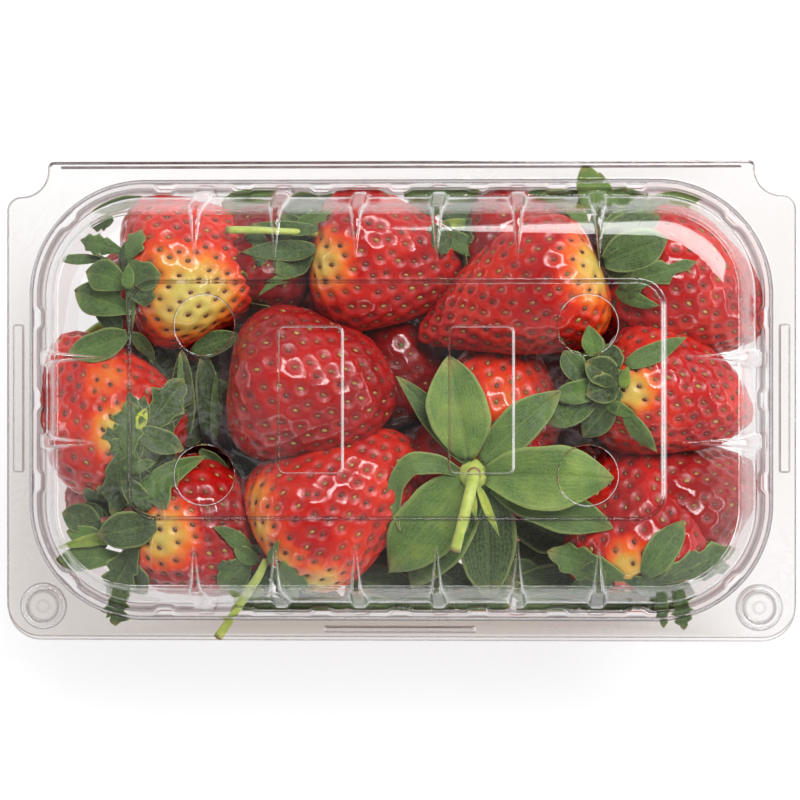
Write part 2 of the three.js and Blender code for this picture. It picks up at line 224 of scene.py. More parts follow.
def seed_material():
    m = Nodes("strawberry_seed")
    co = m.coords()
    r = m.attr("blotch")
    col = m.ramp(r, [(0.0, srgb(84, 34, 18)), (0.4, srgb(124, 74, 32)), (0.75, srgb(152, 112, 48)), (1.0, srgb(176, 148, 70))])
    col = m.mix(m.math("MULTIPLY", m.ranged(m.attr("pale"), 0.1, 0.5), 0.85), col, srgb(64, 32, 14))
    col = m.mix(m.ranged(m.noise(co, 3000, 2), 0.4, 0.7, 0, 0.5), col, srgb(70, 34, 16))
    b = m.principled(Base_Color=col, Roughness=0.42, Coat_Weight=0.2, Coat_Roughness=0.2,
                     Normal=m.bump(m.noise(co, 4000, 2), 0.2, 0.0001))
    return m.done(b.outputs[0])


def core_material():
    m = Nodes("packed_fruit")
    co = m.coords()
    n = m.noise(co, 60, 4)
    # partly painted shade: the packed fruit below gets a darker red than the berries, for the shade it lies in
    col = m.ramp(n, [(0.25, srgb(52, 4, 8)), (0.55, srgb(92, 8, 12)), (0.8, srgb(120, 18, 16))])
    b = m.principled(Base_Color=col, Roughness=0.5, Normal=m.bump(m.noise(co, 400, 3), 0.6, 0.001))
    return m.done(b.outputs[0])


def leaf_material():
    m = Nodes("sepal_leaf")
    co = m.coords()
    t, s, shade = m.attr("leaf_t"), m.attr("leaf_s"), m.attr("shade")
    n1 = m.noise(co, 140, 4, 0.6)
    n2 = m.noise(co, 1100, 3, 0.6)
    v = m.math("ADD", shade, m.ranged(n1, 0.3, 0.7, -0.16, 0.16), clamp=True)
    warm = m.attr("warm")
    col = m.ramp(v, [(0.0, srgb(20, 36, 16)), (0.3, srgb(38, 62, 26)), (0.6, srgb(82, 110, 52)), (0.85, srgb(124, 146, 78)), (1.0, srgb(166, 180, 78))])
    rich = m.ramp(v, [(0.0, srgb(14, 30, 10)), (0.3, srgb(34, 66, 20)), (0.6, srgb(78, 112, 34)), (0.85, srgb(132, 152, 46)), (1.0, srgb(186, 190, 50))])
    col = m.mix(warm, col, rich)
    # a soft midrib and many fine veins along the leaf
    a = m.math("ABSOLUTE", s)
    rib = m.ranged(a, 0.02, 0.09, 1.0, 0.0)
    wob = m.math("ADD", m.math("MULTIPLY", s, 46.0), m.math("MULTIPLY", m.noise(co, 260, 3), 9.0))
    vein = m.ranged(m.math("SINE", wob), 0.35, 1.0)
    lines = m.math("ADD", m.math("MULTIPLY", rib, 0.5), m.math("MULTIPLY", vein, 0.42), clamp=True)
    col = m.mix(m.math("MULTIPLY", lines, 0.36), col, srgb(140, 160, 92))
    tip = m.ranged(m.math("MULTIPLY", t, m.math("ADD", 0.8, m.math("MULTIPLY", n1, 0.4))), 0.84, 1.02)
    col = m.mix(m.math("MULTIPLY", tip, 0.6), col, srgb(158, 138, 82))
    edge = m.ranged(a, 0.84, 0.99, 0.0, 0.62)
    col = m.mix(edge, col, srgb(158, 170, 96))
    # the fine net between the veins
    net = m.add("TexVoronoi")
    net.feature = "DISTANCE_TO_EDGE"
    m.link(co, net.inputs["Vector"])
    net.inputs["Scale"].default_value = 1350.0
    mesh = m.ranged(net.outputs["Distance"], 0.0, 0.16, 1.0, 0.0)
    col = m.mix(m.math("MULTIPLY", mesh, 0.13), col, srgb(158, 174, 118))
    col = m.mix(m.ranged(n2, 0.38, 0.62, 0.0, 0.26), col, srgb(116, 130, 84))
    col = m.mix(m.ranged(m.noise(co, 2600, 2), 0.5, 0.7, 0.0, 0.3), col, srgb(36, 52, 26))
    height = m.math("ADD", m.math("ADD", m.math("MULTIPLY", lines, -0.5), m.math("MULTIPLY", mesh, -0.2)), m.math("MULTIPLY", n2, 0.5))
    b = m.principled(Base_Color=col, Roughness=0.6, Sheen_Weight=0.12, Sheen_Roughness=0.5, Specular_IOR_Level=0.35,
                     Normal=m.bump(height, 0.35, 0.0006))
    b.inputs["Sheen Tint"].default_value = (0.85, 0.95, 0.75, 1)
    return m.done(b.outputs[0])


def stem_material():
    m = Nodes("stem_green")
    co = m.coords()
    t = m.attr("leaf_t")
    n = m.noise(co, 500, 3)
    col = m.mix(m.ranged(n, 0.3, 0.7), srgb(150, 172, 66), srgb(186, 196, 96))
    col = m.mix(m.ranged(t, 0.93, 1.0), col, srgb(118, 84, 42))
    b = m.principled(Base_Color=col, Roughness=0.5, Sheen_Weight=0.3, Normal=m.bump(m.noise(co, 1600, 2), 0.4, 0.0003))
    return m.done(b.outputs[0])


def clear_material(name, haze_low, haze_high, fogged):
    """Clear formed sheet: glass for what the camera sees, open to light that
    reaches the fruit, and uneven fog on its inside."""
    m = Nodes(name)
    co = m.coords()
    fog = m.noise(co, 24, 4, 0.62, 0.8)
    fine = m.noise(co, 260, 4, 0.65, 1.2)
    fog_and_line_amount = m.math("MULTIPLY", m.ranged(fog, 0.42, 0.76, haze_low, haze_high), m.ranged(fine, 0.25, 0.75, 0.75, 1.25))
    if fogged:
        # threads of damp, in scattered patches
        threads = m.math("ABSOLUTE", m.math("SUBTRACT", m.noise(co, 95, 3, 0.6, 2.2), 0.5))
        patch = m.ranged(m.noise(co, 17, 2, 0.5), 0.48, 0.60)
        fog_and_line_amount = m.math("ADD", fog_and_line_amount, m.math("MULTIPLY", m.ranged(threads, 0.0, 0.07, 0.035, 0.0), patch))
    wav = m.math("ADD", m.math("MULTIPLY", m.noise(co, 55, 2), 1.0), m.math("MULTIPLY", m.noise(co, 300, 2), 0.06))
    # painted shade: the sheet is darker along folds, steps and edges, as if bending dark surroundings into view; white
    # lines are partly stretch whitening and partly painted highlight; its flange takes a faint painted shadow of the
    # pack on the floor under it
    crease, stretch, tone = m.attr("crease"), m.attr("stretch"), m.attr("tone")
    tint = m.mix(tone, (0.99, 0.987, 0.985, 1), (0.78, 0.733, 0.70, 1))
    # painted shade: the tint darkens along the painted dark lines
    tint = m.mix(m.math("MULTIPLY", crease, m.ranged(m.noise(co, 160, 3), 0.3, 0.7, 0.7, 1.0)), tint, (0.30, 0.19, 0.19, 1))
    fog_and_line_amount = m.math("ADD", fog_and_line_amount, m.math("MULTIPLY", stretch, m.ranged(m.noise(co, 220, 3), 0.3, 0.7, 0.65, 1.0)), clamp=True)
    fog_and_line_amount = m.math("ADD", fog_and_line_amount, m.math("MULTIPLY", crease, 0.25), clamp=True)
    glass = m.principled(Base_Color=tint, Roughness=0.02, IOR=1.20, Coat_Weight=0.42, Coat_IOR=1.5, Coat_Roughness=0.02, Transmission_Weight=1.0,
                         Normal=m.bump(wav, 0.10, 0.002))
    fog_and_line_paint = m.add("BsdfDiffuse")
    # the diffuse layer is near-black on the painted dark lines and pale on the white lines, which are partly painted
    # highlight
    m.put(fog_and_line_paint.inputs["Color"], m.mix(m.ranged(crease, 0.0, 0.2), m.mix(stretch, (0.66, 0.66, 0.66, 1), (0.92, 0.90, 0.89, 1)), (0.02, 0.014, 0.014, 1)))
    seen = m.add("MixShader")
    m.put(seen.inputs[0], fog_and_line_amount)
    m.link(glass.outputs[0], seen.inputs[1])
    m.link(fog_and_line_paint.outputs[0], seen.inputs[2])
    path = m.add("LightPath")
    mirrored = m.math("MULTIPLY", path.outputs["Is Glossy Ray"], m.math("SUBTRACT", 1.0, path.outputs["Is Transmission Ray"]))
    through = m.math("MAXIMUM", path.outputs["Is Shadow Ray"], m.math("MAXIMUM", path.outputs["Is Diffuse Ray"], mirrored))
    # the steep walls mirror the floor less than their slope would
    through = m.math("MAXIMUM", through, m.math("MULTIPLY", m.attr("wall"), 0.72))
    clear = m.add("BsdfTransparent")
    clear.inputs["Color"].default_value = (0.97, 0.97, 0.97, 1)
    both = m.add("MixShader")
    m.link(through, both.inputs[0])
    m.link(seen.outputs[0], both.inputs[1])
    m.link(clear.outputs[0], both.inputs[2])
    return m.done(both.outputs[0])


MAT_FRUIT, MAT_SEED, MAT_CORE = fruit_material(), seed_material(), core_material()
MAT_LEAF, MAT_STEM = leaf_material(), stem_material()
MAT_LID = clear_material("clear_sheet_lid", 0.002, 0.015, True)
MAT_TRAY = clear_material("clear_sheet_tray", 0.002, 0.010, False)


# ------------------------------------------------------------------- meshes
def make_object(name, verts, faces, materials, attrs=None, index=None, smooth=True):
    """verts in mm; faces is a list of integer arrays, each (n, 3) or (n, 4)."""
    me = bpy.data.meshes.new(name)
    v = np.asarray(verts, float) * MM
    blocks = [np.asarray(f, int) for f in faces if len(f)]
    me.vertices.add(len(v))
    me.vertices.foreach_set("co", v.astype(np.float32).ravel())
    loops = np.concatenate([b.ravel() for b in blocks])
    totals = np.concatenate([np.full(len(b), b.shape[1]) for b in blocks])
    starts = np.concatenate([[0], np.cumsum(totals)[:-1]])
    me.loops.add(len(loops))
    me.loops.foreach_set("vertex_index", loops.astype(np.int32))
    me.polygons.add(len(totals))
    me.polygons.foreach_set("loop_start", starts.astype(np.int32))
    if index is not None:
        me.polygons.foreach_set("material_index", np.asarray(index, np.int32))
    me.update(calc_edges=True)
    me.polygons.foreach_set("use_smooth", np.full(len(totals), smooth))
    for k, a in (attrs or {}).items():
        me.attributes.new(k, "FLOAT", "POINT").data.foreach_set("value", np.asarray(a, np.float32))
    for m in materials:
        me.materials.append(m)
    me.validate(verbose=False)
    ob = bpy.data.objects.new(name, me)
    bpy.context.scene.collection.objects.link(ob)
    return ob


def apply_modifiers(ob):
    bpy.context.view_layer.update()
    dg = bpy.context.evaluated_depsgraph_get()
    me = bpy.data.meshes.new_from_object(ob.evaluated_get(dg))
    old = ob.data
    ob.modifiers.clear()
    ob.data = me
    bpy.data.meshes.remove(old)
    me.name = ob.name


def catmull(xs, ys, x):
    """Smooth interpolation through points, with flat overshoot kept small."""
    xs, ys = np.asarray(xs, float), np.asarray(ys, float)
    d = np.diff(ys) / np.diff(xs)
    m = np.concatenate([[d[0]], np.where(d[:-1] * d[1:] > 0, 2 * d[:-1] * d[1:] / (d[:-1] + d[1:] + 1e-12), 0), [d[-1]]])
    x = np.clip(x, xs[0], xs[-1])
    i = np.clip(np.searchsorted(xs, x, side="right") - 1, 0, len(xs) - 2)
    h = xs[i + 1] - xs[i]
    t = (x - xs[i]) / h
    return ((1 + 2 * t) * (1 - t) ** 2 * ys[i] + t * (1 - t) ** 2 * h * m[i]
            + t * t * (3 - 2 * t) * ys[i + 1] + t * t * (t - 1) * h * m[i + 1])


# ------------------------------------------------------- clear pack: geometry
HL, HW, CORNER = 89.4, 53.0, 28.0              # outline of the dome on the flange
FL, FW = 95.0, 58.0                             # flange
TRAY_H, LID_Z, SHEET, THIN = 55.0, 56.1, 0.42, 0.27
RIBS = ([(i - 0.5) * 20 for i in range(2)], [(i - 2.5) * 18.9 for i in range(6)])
LUGS = ([-19.7, 0, 19.7], [(i - 3) * 18.9 for i in range(7)])
RIB_K = [-1.5, -1.15, -1.0, -0.85, -0.65, -0.35, 0, 0.35, 0.65, 0.85, 1.0, 1.15, 1.5]
LUG_K = [-1.3, -1.04, -0.84, -0.6, 0.6, 0.84, 1.04, 1.3]
RIB_SIDE = {0.85: 0.35, 1.0: 1.0, 1.15: 0.45}
LUG_HALF = 2.7


def flat_bump(q):
    """A soft-edged flat-topped bump, 1 in the middle and 0 past |q| = 1.15."""
    q = np.abs(q)
    t = np.clip((1.12 - q) / 0.55, 0, 1)
    return t * t * (3 - 2 * t)


def sweep_row(hx, hy, r, z, nu, nz, rib_half, rib_depth, lug):
    """Points of one level round the pack, with its ribs and lugs. The push of
    each feature is along the wall's own outward normal (nu, nz). Also gives
    how near each point is to the side of a rib, from 0 to 1."""
    pts, near = [], []
    for s in range(4):
        nx, ny = ((1, 0), (0, 1), (-1, 0), (0, -1))[s]
        tx, ty = -ny, nx
        a = (s % 2 and hx or hy) - r
        h = s % 2 and hy or hx
        st = [(-a, 0.0, 0)]
        feats = [(c, "r") for c in RIBS[s % 2]] + [(c, "l") for c in LUGS[s % 2]]
        for c, kind in sorted(feats):
            if kind == "r":
                for k in RIB_K:
                    st.append((c + k * rib_half, rib_depth * flat_bump(k), RIB_SIDE.get(abs(k), 0) * min(rib_depth / 0.5, 1)))
            else:
                for k in LUG_K:
                    st.append((c + k * LUG_HALF, -lug * flat_bump(k), 0))
        st.append((a, 0.0, 0))
        for u, d, w in st:
            u = max(-a, min(a, u))
            pts.append((nx * (h + d * nu) + tx * u, ny * (h + d * nu) + ty * u, z + d * nz * (d > 0)))
            near.append(w)
        cx, cy = nx * (h - r) + tx * a, ny * (h - r) + ty * a
        a0 = math.atan2(ny, nx)
        for k in range(1, 30):
            q = a0 + math.pi / 2 * k / 30
            off = abs(k * 3 - 45) * math.pi / 180 * r / LUG_HALF
            rr = r - lug * flat_bump(off)
            pts.append((cx + math.cos(q) * rr, cy + math.sin(q) * rr, z))
            near.append(0)
    return pts, np.array(near, float)


def round_path(keys, steps):
    """Rounds the corners of a path of rows. Each key is (values..., fillet),
    and between fillets the long runs get more rows."""
    k = np.array([key[:-1] for key in keys], float)
    f = [key[-1] for key in keys]
    geo = lambda p: np.array([(p[0] + p[1]) / 2, p[3]])
    out = [k[0]]
    for i in range(1, len(k) - 1):
        a, b, c = k[i - 1], k[i], k[i + 1]
        la, lc = np.linalg.norm(geo(a) - geo(b)), np.linalg.norm(geo(c) - geo(b))
        fa, fc = min(f[i] / la, 0.48), min(f[i] / lc, 0.48)
        p, q = b + (a - b) * fa, b + (c - b) * fc
        if f[i] <= 0:
            out.append(b)
            continue
        n = steps if f[i] < 3 else steps + 2
        for j in range(n + 1):
            t = j / n
            out.append((1 - t) ** 2 * p + 2 * t * (1 - t) * b + t * t * q)
    out.append(k[-1])
    rows = [out[0]]
    for p in out[1:]:
        gap = np.linalg.norm(geo(p) - geo(rows[-1]))
        n = max(1, int(round(gap / 4.6)))
        last = rows[-1]
        for j in range(1, n + 1):
            rows.append(last + (p - last) * j / n)
    return rows


def row_normals(rows):
    out = []
    for i, p in enumerate(rows):
        a, b = rows[max(i - 1, 0)], rows[min(i + 1, len(rows) - 1)]
        du, dz = (b[0] + b[1] - a[0] - a[1]) / 2, b[3] - a[3]
        l = math.hypot(du, dz) or 1
        out.append((dz / l, -du / l))
    return out


def inset_of(x, y):
    """Distance inwards from the outline of the dome."""
    qx, qy = np.abs(x) - (HL - CORNER), np.abs(y) - (HW - CORNER)
    return CORNER - np.hypot(np.maximum(qx, 0), np.maximum(qy, 0)) - np.minimum(np.maximum(qx, qy), 0)


class Build:
    """Gathers points and faces of one sheet's upper side."""

    def __init__(self):
        self.v, self.quads, self.tris, self.count = [], [], [], 0
        self.marks = []

    def ring(self, pts, crease=0.0, stretch=0.0):
        i = np.arange(len(pts)) + self.count
        self.v.extend(pts)
        self.count += len(pts)
        self.marks.append((i, crease, stretch))
        return i

    def strip(self, a, b):
        n = len(a)
        k = np.arange(n)
        self.quads.extend(np.stack([a[k], a[(k + 1) % n], b[(k + 1) % n], b[k]], 1).tolist())

    def fill(self, outer, holes, extra=()):
        """A flat face between closed rings, triangulated with extra points."""
        ids = list(outer)
        for h in holes:
            ids += list(h)
        for p in extra:
            ids.append(self.count)
            self.v.append(p)
            self.count += 1
        co = [Vector(self.v[i][:2]) for i in ids]
        edges, at = [], 0
        for ring in [outer, *holes]:
            n = len(ring)
            edges += [(at + k, at + (k + 1) % n) for k in range(n)]
            at += n
        res = geometry.delaunay_2d_cdt(co, edges, [], 0, 1e-7)
        pos, faces, orig = res[0], res[2], res[3]
        z = self.v[outer[0]][2]
        back = []
        for i, o in enumerate(orig):
            if o:
                back.append(ids[o[0]])
            else:
                back.append(self.count)
                self.v.append((pos[i][0], pos[i][1], z))
                self.count += 1
        loops = [np.array([self.v[i][:2] for i in r]) for r in [outer, *holes]]

        def inside(loop, p):
            x, y = loop[:, 0], loop[:, 1]
            x2, y2 = np.roll(x, -1), np.roll(y, -1)
            c = (y > p[1]) != (y2 > p[1])
            return np.count_nonzero(c & (p[0] < (x2 - x) * (p[1] - y) / (y2 - y + 1e-30) + x)) % 2 == 1

        for f in faces:
            ids3 = [back[i] for i in f]
            c = np.mean([self.v[i][:2] for i in ids3], axis=0)
            if not inside(loops[0], c) or any(inside(h, c) for h in loops[1:]):
                continue
            p, q, r = (self.v[i] for i in ids3)
            area = (q[0] - p[0]) * (r[1] - p[1]) - (q[1] - p[1]) * (r[0] - p[0])
            if abs(area) < 1e-9:
                continue
            self.tris.append(ids3 if area > 0 else ids3[::-1])

    def object(self, name, material, flange_z, thickness=THIN):
        crease, stretch = np.zeros(self.count), np.zeros(self.count)
        for i, c, w in self.marks:
            crease[i], stretch[i] = c, w
        p = np.array(self.v)
        # painted shadow: the flange rim is tinted darker where the pack's shadow would fall on the floor below it, most
        # at the front
        on_rim = (np.abs(p[:, 2] - flange_z) < 2.2) & (inset_of(p[:, 0], p[:, 1]) < 0.5)
        x, y = p[:, 0], p[:, 1]
        front = np.clip((-y - 42) / 9, 0, 1)
        back = np.clip((y - 45) / 7, 0, 1)
        at_front = np.interp(x, [-95, -73, -52, -26, 37, 48, 60, 75, 95], [.44, .56, .78, 1.18, 1.36, 1.0, .66, .26, .12])
        at_back = np.interp(x, [-95, -72, -31, 17, 34, 62, 77, 95], [.0, .0, .06, .22, .34, .24, .12, .05])
        at_side = np.where(x < 0, np.interp(y, [-58, -23, -8, 25, 42], [.54, .50, .44, .26, .08]),
                           np.interp(y, [-58, -30, -10, 10, 30, 58], [.16, .14, .22, .28, .20, .16]))
        tone = np.where(on_rim, at_front * front + at_back * back + at_side * (1 - front - back), 0.0)
        ob = make_object(name, self.v, [np.array(self.quads), np.array(self.tris)], [material],
                         {"crease": crease, "stretch": stretch, "tone": tone})
        nz = np.zeros(self.count * 3, np.float32)
        ob.data.vertices.foreach_get("normal", nz)
        steep = np.clip((0.62 - np.abs(nz.reshape(-1, 3)[:, 2])) / 0.30, 0, 1)
        wall = np.where((p[:, 2] > flange_z + 0.15) & (p[:, 2] < flange_z + 24) & (inset_of(x, y) > -0.15) & (flange_z == LID_Z), steep * (1 - np.clip(stretch * 1.5, 0, 1)) * (1 - np.clip(crease * 1.4, 0, 1)), 0.0)
        ob.data.attributes.new("wall", "FLOAT", "POINT").data.foreach_set("value", wall.astype(np.float32))
        s = ob.modifiers.new("sheet", "SOLIDIFY")
        s.thickness, s.offset, s.use_even_offset = thickness * MM, -1, True
        s.thickness_clamp = 0
        apply_modifiers(ob)
        me = ob.data
        me.polygons.foreach_set("use_smooth", np.full(len(me.polygons), True))
        me.set_sharp_from_angle(angle=math.radians(50))
        w = ob.modifiers.new("even", "WEIGHTED_NORMAL")
        w.keep_sharp, w.weight = True, 80
        apply_modifiers(ob)
        return ob


def circle(cx, cy, r, z, n=48, start=0.0):
    q = np.arange(n) / n * 2 * math.pi + start
    return [(cx + r * math.cos(a), cy + r * math.sin(a), z) for a in q]


def rounded(cx, cy, hx, hy, r, z, n=5, shrink=0.0):
    """A rounded rectangle; shrink moves it inwards with the same points."""
    pts = []
    for s in range(4):
        nx, ny = ((1, 0), (0, 1), (-1, 0), (0, -1))[s]
        tx, ty = -ny, nx
        m = max(2, int(((s % 2 and hx or hy) - r) / 2))
        rr = max(r - shrink, 0.12)
        a, h = (s % 2 and hx or hy) - shrink - rr, (s % 2 and hy or hx) - shrink
        for k in range(m):
            u = -a + 2 * a * k / m
            pts.append((cx + nx * h + tx * u, cy + ny * h + ty * u, z))
        a0 = math.atan2(ny, nx)
        for k in range(n):
            q = a0 + math.pi / 2 * k / n
            pts.append((cx + nx * (h - rr) + tx * a + math.cos(q) * rr, cy + ny * (h - rr) + ty * a + math.sin(q) * rr, z))
    return pts


def outline(front, back, z):
    """The flange's outline, counter-clockwise from the front middle."""
    right = []
    for k in range(13):
        a = -math.pi / 2 + math.pi / 2 * k / 12
        right.append((FL - 8.3 + 8.3 * math.cos(a), front + 8.3 + 8.3 * math.sin(a)))
    for k in range(8):
        a = math.pi / 2 * k / 7
        right.append((91.5 + 3.5 * math.cos(a), 45.6 + 3.5 * math.sin(a)))
    for k in range(12):
        a = -math.pi / 2 - math.pi / 2 * (k + 0.5) / 12
        right.append((91.4 + 6.3 * math.cos(a), 55.4 + 6.3 * math.sin(a)))
    right += [(85.1, back - 1.2), (84.6, back - 0.3), (83.8, back)]
    pts = [(x, y, z) for x, y in right] + [(-x, y, z) for x, y in reversed(right)]
    return pts


def lift(ring, dz, grow=0.0):
    """A copy of a ring, raised, and grown outwards along its own normals."""
    p = np.array(ring)
    t = np.roll(p, -1, 0) - np.roll(p, 1, 0)
    n = np.stack([t[:, 1], -t[:, 0]], 1)
    n /= np.linalg.norm(n, axis=1)[:, None] + 1e-12
    p[:, :2] += n * grow
    p[:, 2] += dz
    return [tuple(q) for q in p]


def bead_edge(build, rim, down=0.25):
    """Rolls the outer edge of a flange very slightly downwards, with painted dark lines along it, darker at the back by
    the fold.
    """
    inner = build.ring(lift(rim, 0, -0.75))
    fold = np.array([0.9 if q[1] > 56.5 else 0.0 for q in rim])
    near = build.ring(lift(rim, -0.02, -0.42), fold)
    mid = build.ring(lift(rim, -0.06, -0.2), 0.35 + fold * 0.4)
    edge = build.ring(lift(rim, -down, 0), 0.45)
    build.strip(edge, mid)
    build.strip(mid, near)
    build.strip(near, inner)
    return inner


# lid: rows are (half length, half width, corner, height, rib half, rib depth,
# lug depth, fillet), from the flange up to the panel
def lid_rows():
    a = lambda inset, z: (HL - inset, HW - inset, CORNER - inset, LID_Z + z)
    keys = [
        (*a(-0.9, 0), 2.0, 0, 0, 0),
        (*a(0, 0), 2.0, 0, 0, 0.5),
        (*a(0.7, 3.0), 2.0, 0, 0, 0.55),
        (*a(2.2, 3.0), 2.0, 0, 1.1, 0.35),
        (*a(2.55, 2.2), 2.0, 0, 1.1, 0.4),
        (*a(4.3, 2.2), 2.0, 1.25, 0, 0.6),
        (*a(5.1, 5.5), 2.0, 1.25, 0, 1.2),
        (*a(7.6, 18.0), 1.65, 1.1, 0, 4.0),
        (*a(8.4, 21.2), 1.35, 0.95, 0, 1.7),
        (*a(10.4, 23.1), 0.95, 0.75, 0, 2.2),
        (73.5, 37.6, 13.5, LID_Z + 24.4, 0.5, 0.3, 0, 4.0),
        (67.5, 32.3, 9.0, LID_Z + 25.0, 0.15, 0.0, 0, 0),
        (62.6, 28.0, 6.4, LID_Z + 25.35, 0.15, 0, 0, 0.5),
        (61.9, 27.3, 5.7, LID_Z + 26.1, 0.15, 0, 0, 0.45),
        (60.8, 26.2, 4.6, LID_Z + 26.1, 0.15, 0, 0, 0),
    ]
    return round_path(keys, 3)


def raised(build, patch, rise, inset, dark=0.0, bright=0.0, bright_left=0.0):
    """A raised patch (centre, half sizes, corner, height, corner points) with a soft foot, a slope and a soft head. Its
    slopes get painted dark lines, and painted highlights on its +X and -X sides."""
    foot_pts = rounded(*patch)
    foot = build.ring(foot_pts)
    p = np.array(foot_pts)
    t = np.roll(p, -1, 0) - np.roll(p, 1, 0)
    out = t[:, 1] / (np.linalg.norm(t, axis=1) + 1e-12)
    white = np.clip(out * 1.6 - 0.6, 0, 1) * bright + np.clip(-out * 1.6 - 0.6, 0, 1) * bright_left
    prev = foot
    steps = ((0.22, 0.0, 0), (0.34, 0.04 * rise, 0.7), (0.44, rise * 0.2, 1), (0.44 + inset * 0.5, rise * 0.6, 0.35),
             (0.44 + inset * 0.8, rise * 0.9, 0.35), (0.44 + inset, rise * 0.98, 0.7), (0.60 + inset, rise, 0))
    for g, dz, k in steps:
        ring = [(x, y, z + dz) for x, y, z in rounded(*patch, shrink=g)]
        nxt = build.ring(ring, k * dark * (1 - np.clip(white * 2, 0, 1)), k * white)
        build.strip(prev, nxt)
        prev = nxt
    build.fill(prev, [])
    return foot


LID_MARKS = (   # inset from, to, painted dark line, white line (stretch whitening and painted highlight), part of the ribs' painted white sides
    (-0.12, 0.50, 0.95, 0.0, 0), (0.50, 0.86, 0.60, 0.0, 0), (0.86, 1.20, 0.75, 0.0, 0), (2.10, 2.60, 0.20, 0.22, 0),
    (2.60, 2.95, 0.60, 0.0, 0), (3.80, 4.18, 0.40, 0.0, 0.5), (4.18, 4.60, 0.0, 0.30, 1), (4.60, 8.2, 0.0, 0.0, 1), (8.2, 24, 0.0, 0.0, 1))


def make_lid():
    b = Build()
    rows = lid_rows()
    norms = row_normals(rows)
    rings = []
    for i, ((hx, hy, r, z, rh, rd, lug), (nu, nz)) in enumerate(zip(rows, norms)):
        flat = z < LID_Z + 3.3
        pts, side = sweep_row(hx, hy, max(r, 0.5), z, 1 if flat else nu, 0 if flat else nz, rh, rd, lug)
        dark, white, ribs = 0.0, 0.0, 0.0
        inset = (HL - hx + HW - hy) / 2
        for lo_, hi_, c, w, f in LID_MARKS:
            if lo_ <= inset < hi_:
                dark, white, ribs = c, w, f
        fade = float(np.clip(1.0 - (inset - 9) / 12, 0.0, 1.0))
        if z > LID_Z + 25.2:
            # the edge of the panel: painted shade at the back, front and left, painted highlight on the right
            p = np.array(pts)
            k = {25.37: .35, 25.51: .9, 25.71: .3, 25.77: .3, 25.95: .9, 26.06: .3}.get(round(z - LID_Z, 2), 0.0)
            right = np.clip((p[:, 0] - 61.0) / 0.4, 0, 1) * np.clip((25 - np.abs(p[:, 1])) / 3, 0, 1)
            rings.append(b.ring(pts, k * 0.75 * (1 - right), k * 0.55 * right))
            continue
        # painted dark lines and white lines from the marks, with a painted highlight along the sides of the ribs
        rings.append(b.ring(pts, dark * (1 - side), np.maximum(white, side * ribs * 0.42 * fade)))
    for p, q in zip(rings, rings[1:]):
        b.strip(p, q)
    # flange
    rim = outline(-FW + 0.9, FW - 0.5, LID_Z)
    inner = bead_edge(b, rim)
    holes = [rings[0]]
    holes.append(raised(b, (0, -55.12, 18.6, 1.13, 0.75, LID_Z, 5), 0.55, 0.2, 0.8, 0.5, 0.5))
    # the pressed strip beside the fold, edged with a painted dark line
    prev = b.ring(rounded(0, 56.08, 82.0, 0.42, 0.36, LID_Z, 4))
    holes.append(prev)
    for g, dz in ((0.13, 0.05), (0.27, 0.07)):
        nxt = b.ring([(x, y, z + dz) for x, y, z in rounded(0, 56.08, 82.0, 0.42, 0.36, LID_Z, 4, g)], 0.9)
        b.strip(prev, nxt)
        prev = nxt
    b.fill(prev, [])
    for s in (-1, 1):
        holes.append(raised(b, (s * 92.15, 0.4, 1.7, 18.2, 1.05, LID_Z, 5), 0.55, 0.2, 0.7, 0.2, 0.2))
        ring0 = circle(s * 86.1, -49.7, 5.9, LID_Z)
        prev = b.ring(ring0)
        holes.append(prev)
        # painted dark lines and painted highlights on the snap button's rings
        for r, z, c, w in ((5.75, 0.0, 0, 0), (5.6, 0.05, .50, 0), (5.44, 0.14, .45, 0), (5.3, 0.6, .1, .25), (5.22, 0.9, 0, .35), (5.08, 1.45, .15, .1),
                           (4.85, 1.68, .12, 0), (4.45, 1.72, 0, 0), (4.1, 1.68, 0, 0), (3.86, 1.5, .35, 0), (3.72, 1.2, .2, .2), (3.5, 1.08, .3, 0),
                           (2.9, 1.05, 0, 0), (1.9, 1.12, 0, 0), (1.5, 1.22, .12, .1), (0.8, 1.28, 0, 0)):
            nxt = b.ring(circle(s * 86.1, -49.7, r, LID_Z + z), c, w)
            b.strip(prev, nxt)
            prev = nxt
        b.fill(prev, [])
    b.fill(inner, holes)
    # panel with two upright pads and four vents
    zp = rows[-1][3]
    holes = []
    for s in (-1, 1):
        holes.append(raised(b, (s * 19.9, 0, 8.1, 17.8, 2.2, zp, 7), 0.6, 0.35, 0.32, 0.5, 0.0))
        for v in (-1, 1):
            c = (s * 44.7, v * 17.5)
            lip = b.ring(circle(*c, 7.9, zp))
            prev = lip
            # painted dark lines and faint painted highlights round the vent's lip
            for r, z, k, w in ((7.45, 0.0, 0, 0), (7.3, -0.02, .3, 0), (7.15, -0.08, .3, .08), (7.0, -0.2, .2, .1)):
                nxt = b.ring(circle(*c, r, zp + z), k, w)
                b.strip(prev, nxt)
                prev = nxt
            holes.append(lip)
    b.fill(rings[-1], holes)
    ob = b.object("lid_clear", MAT_LID, LID_Z)
    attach(ob, "cover")
    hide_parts("lid")
    return ob


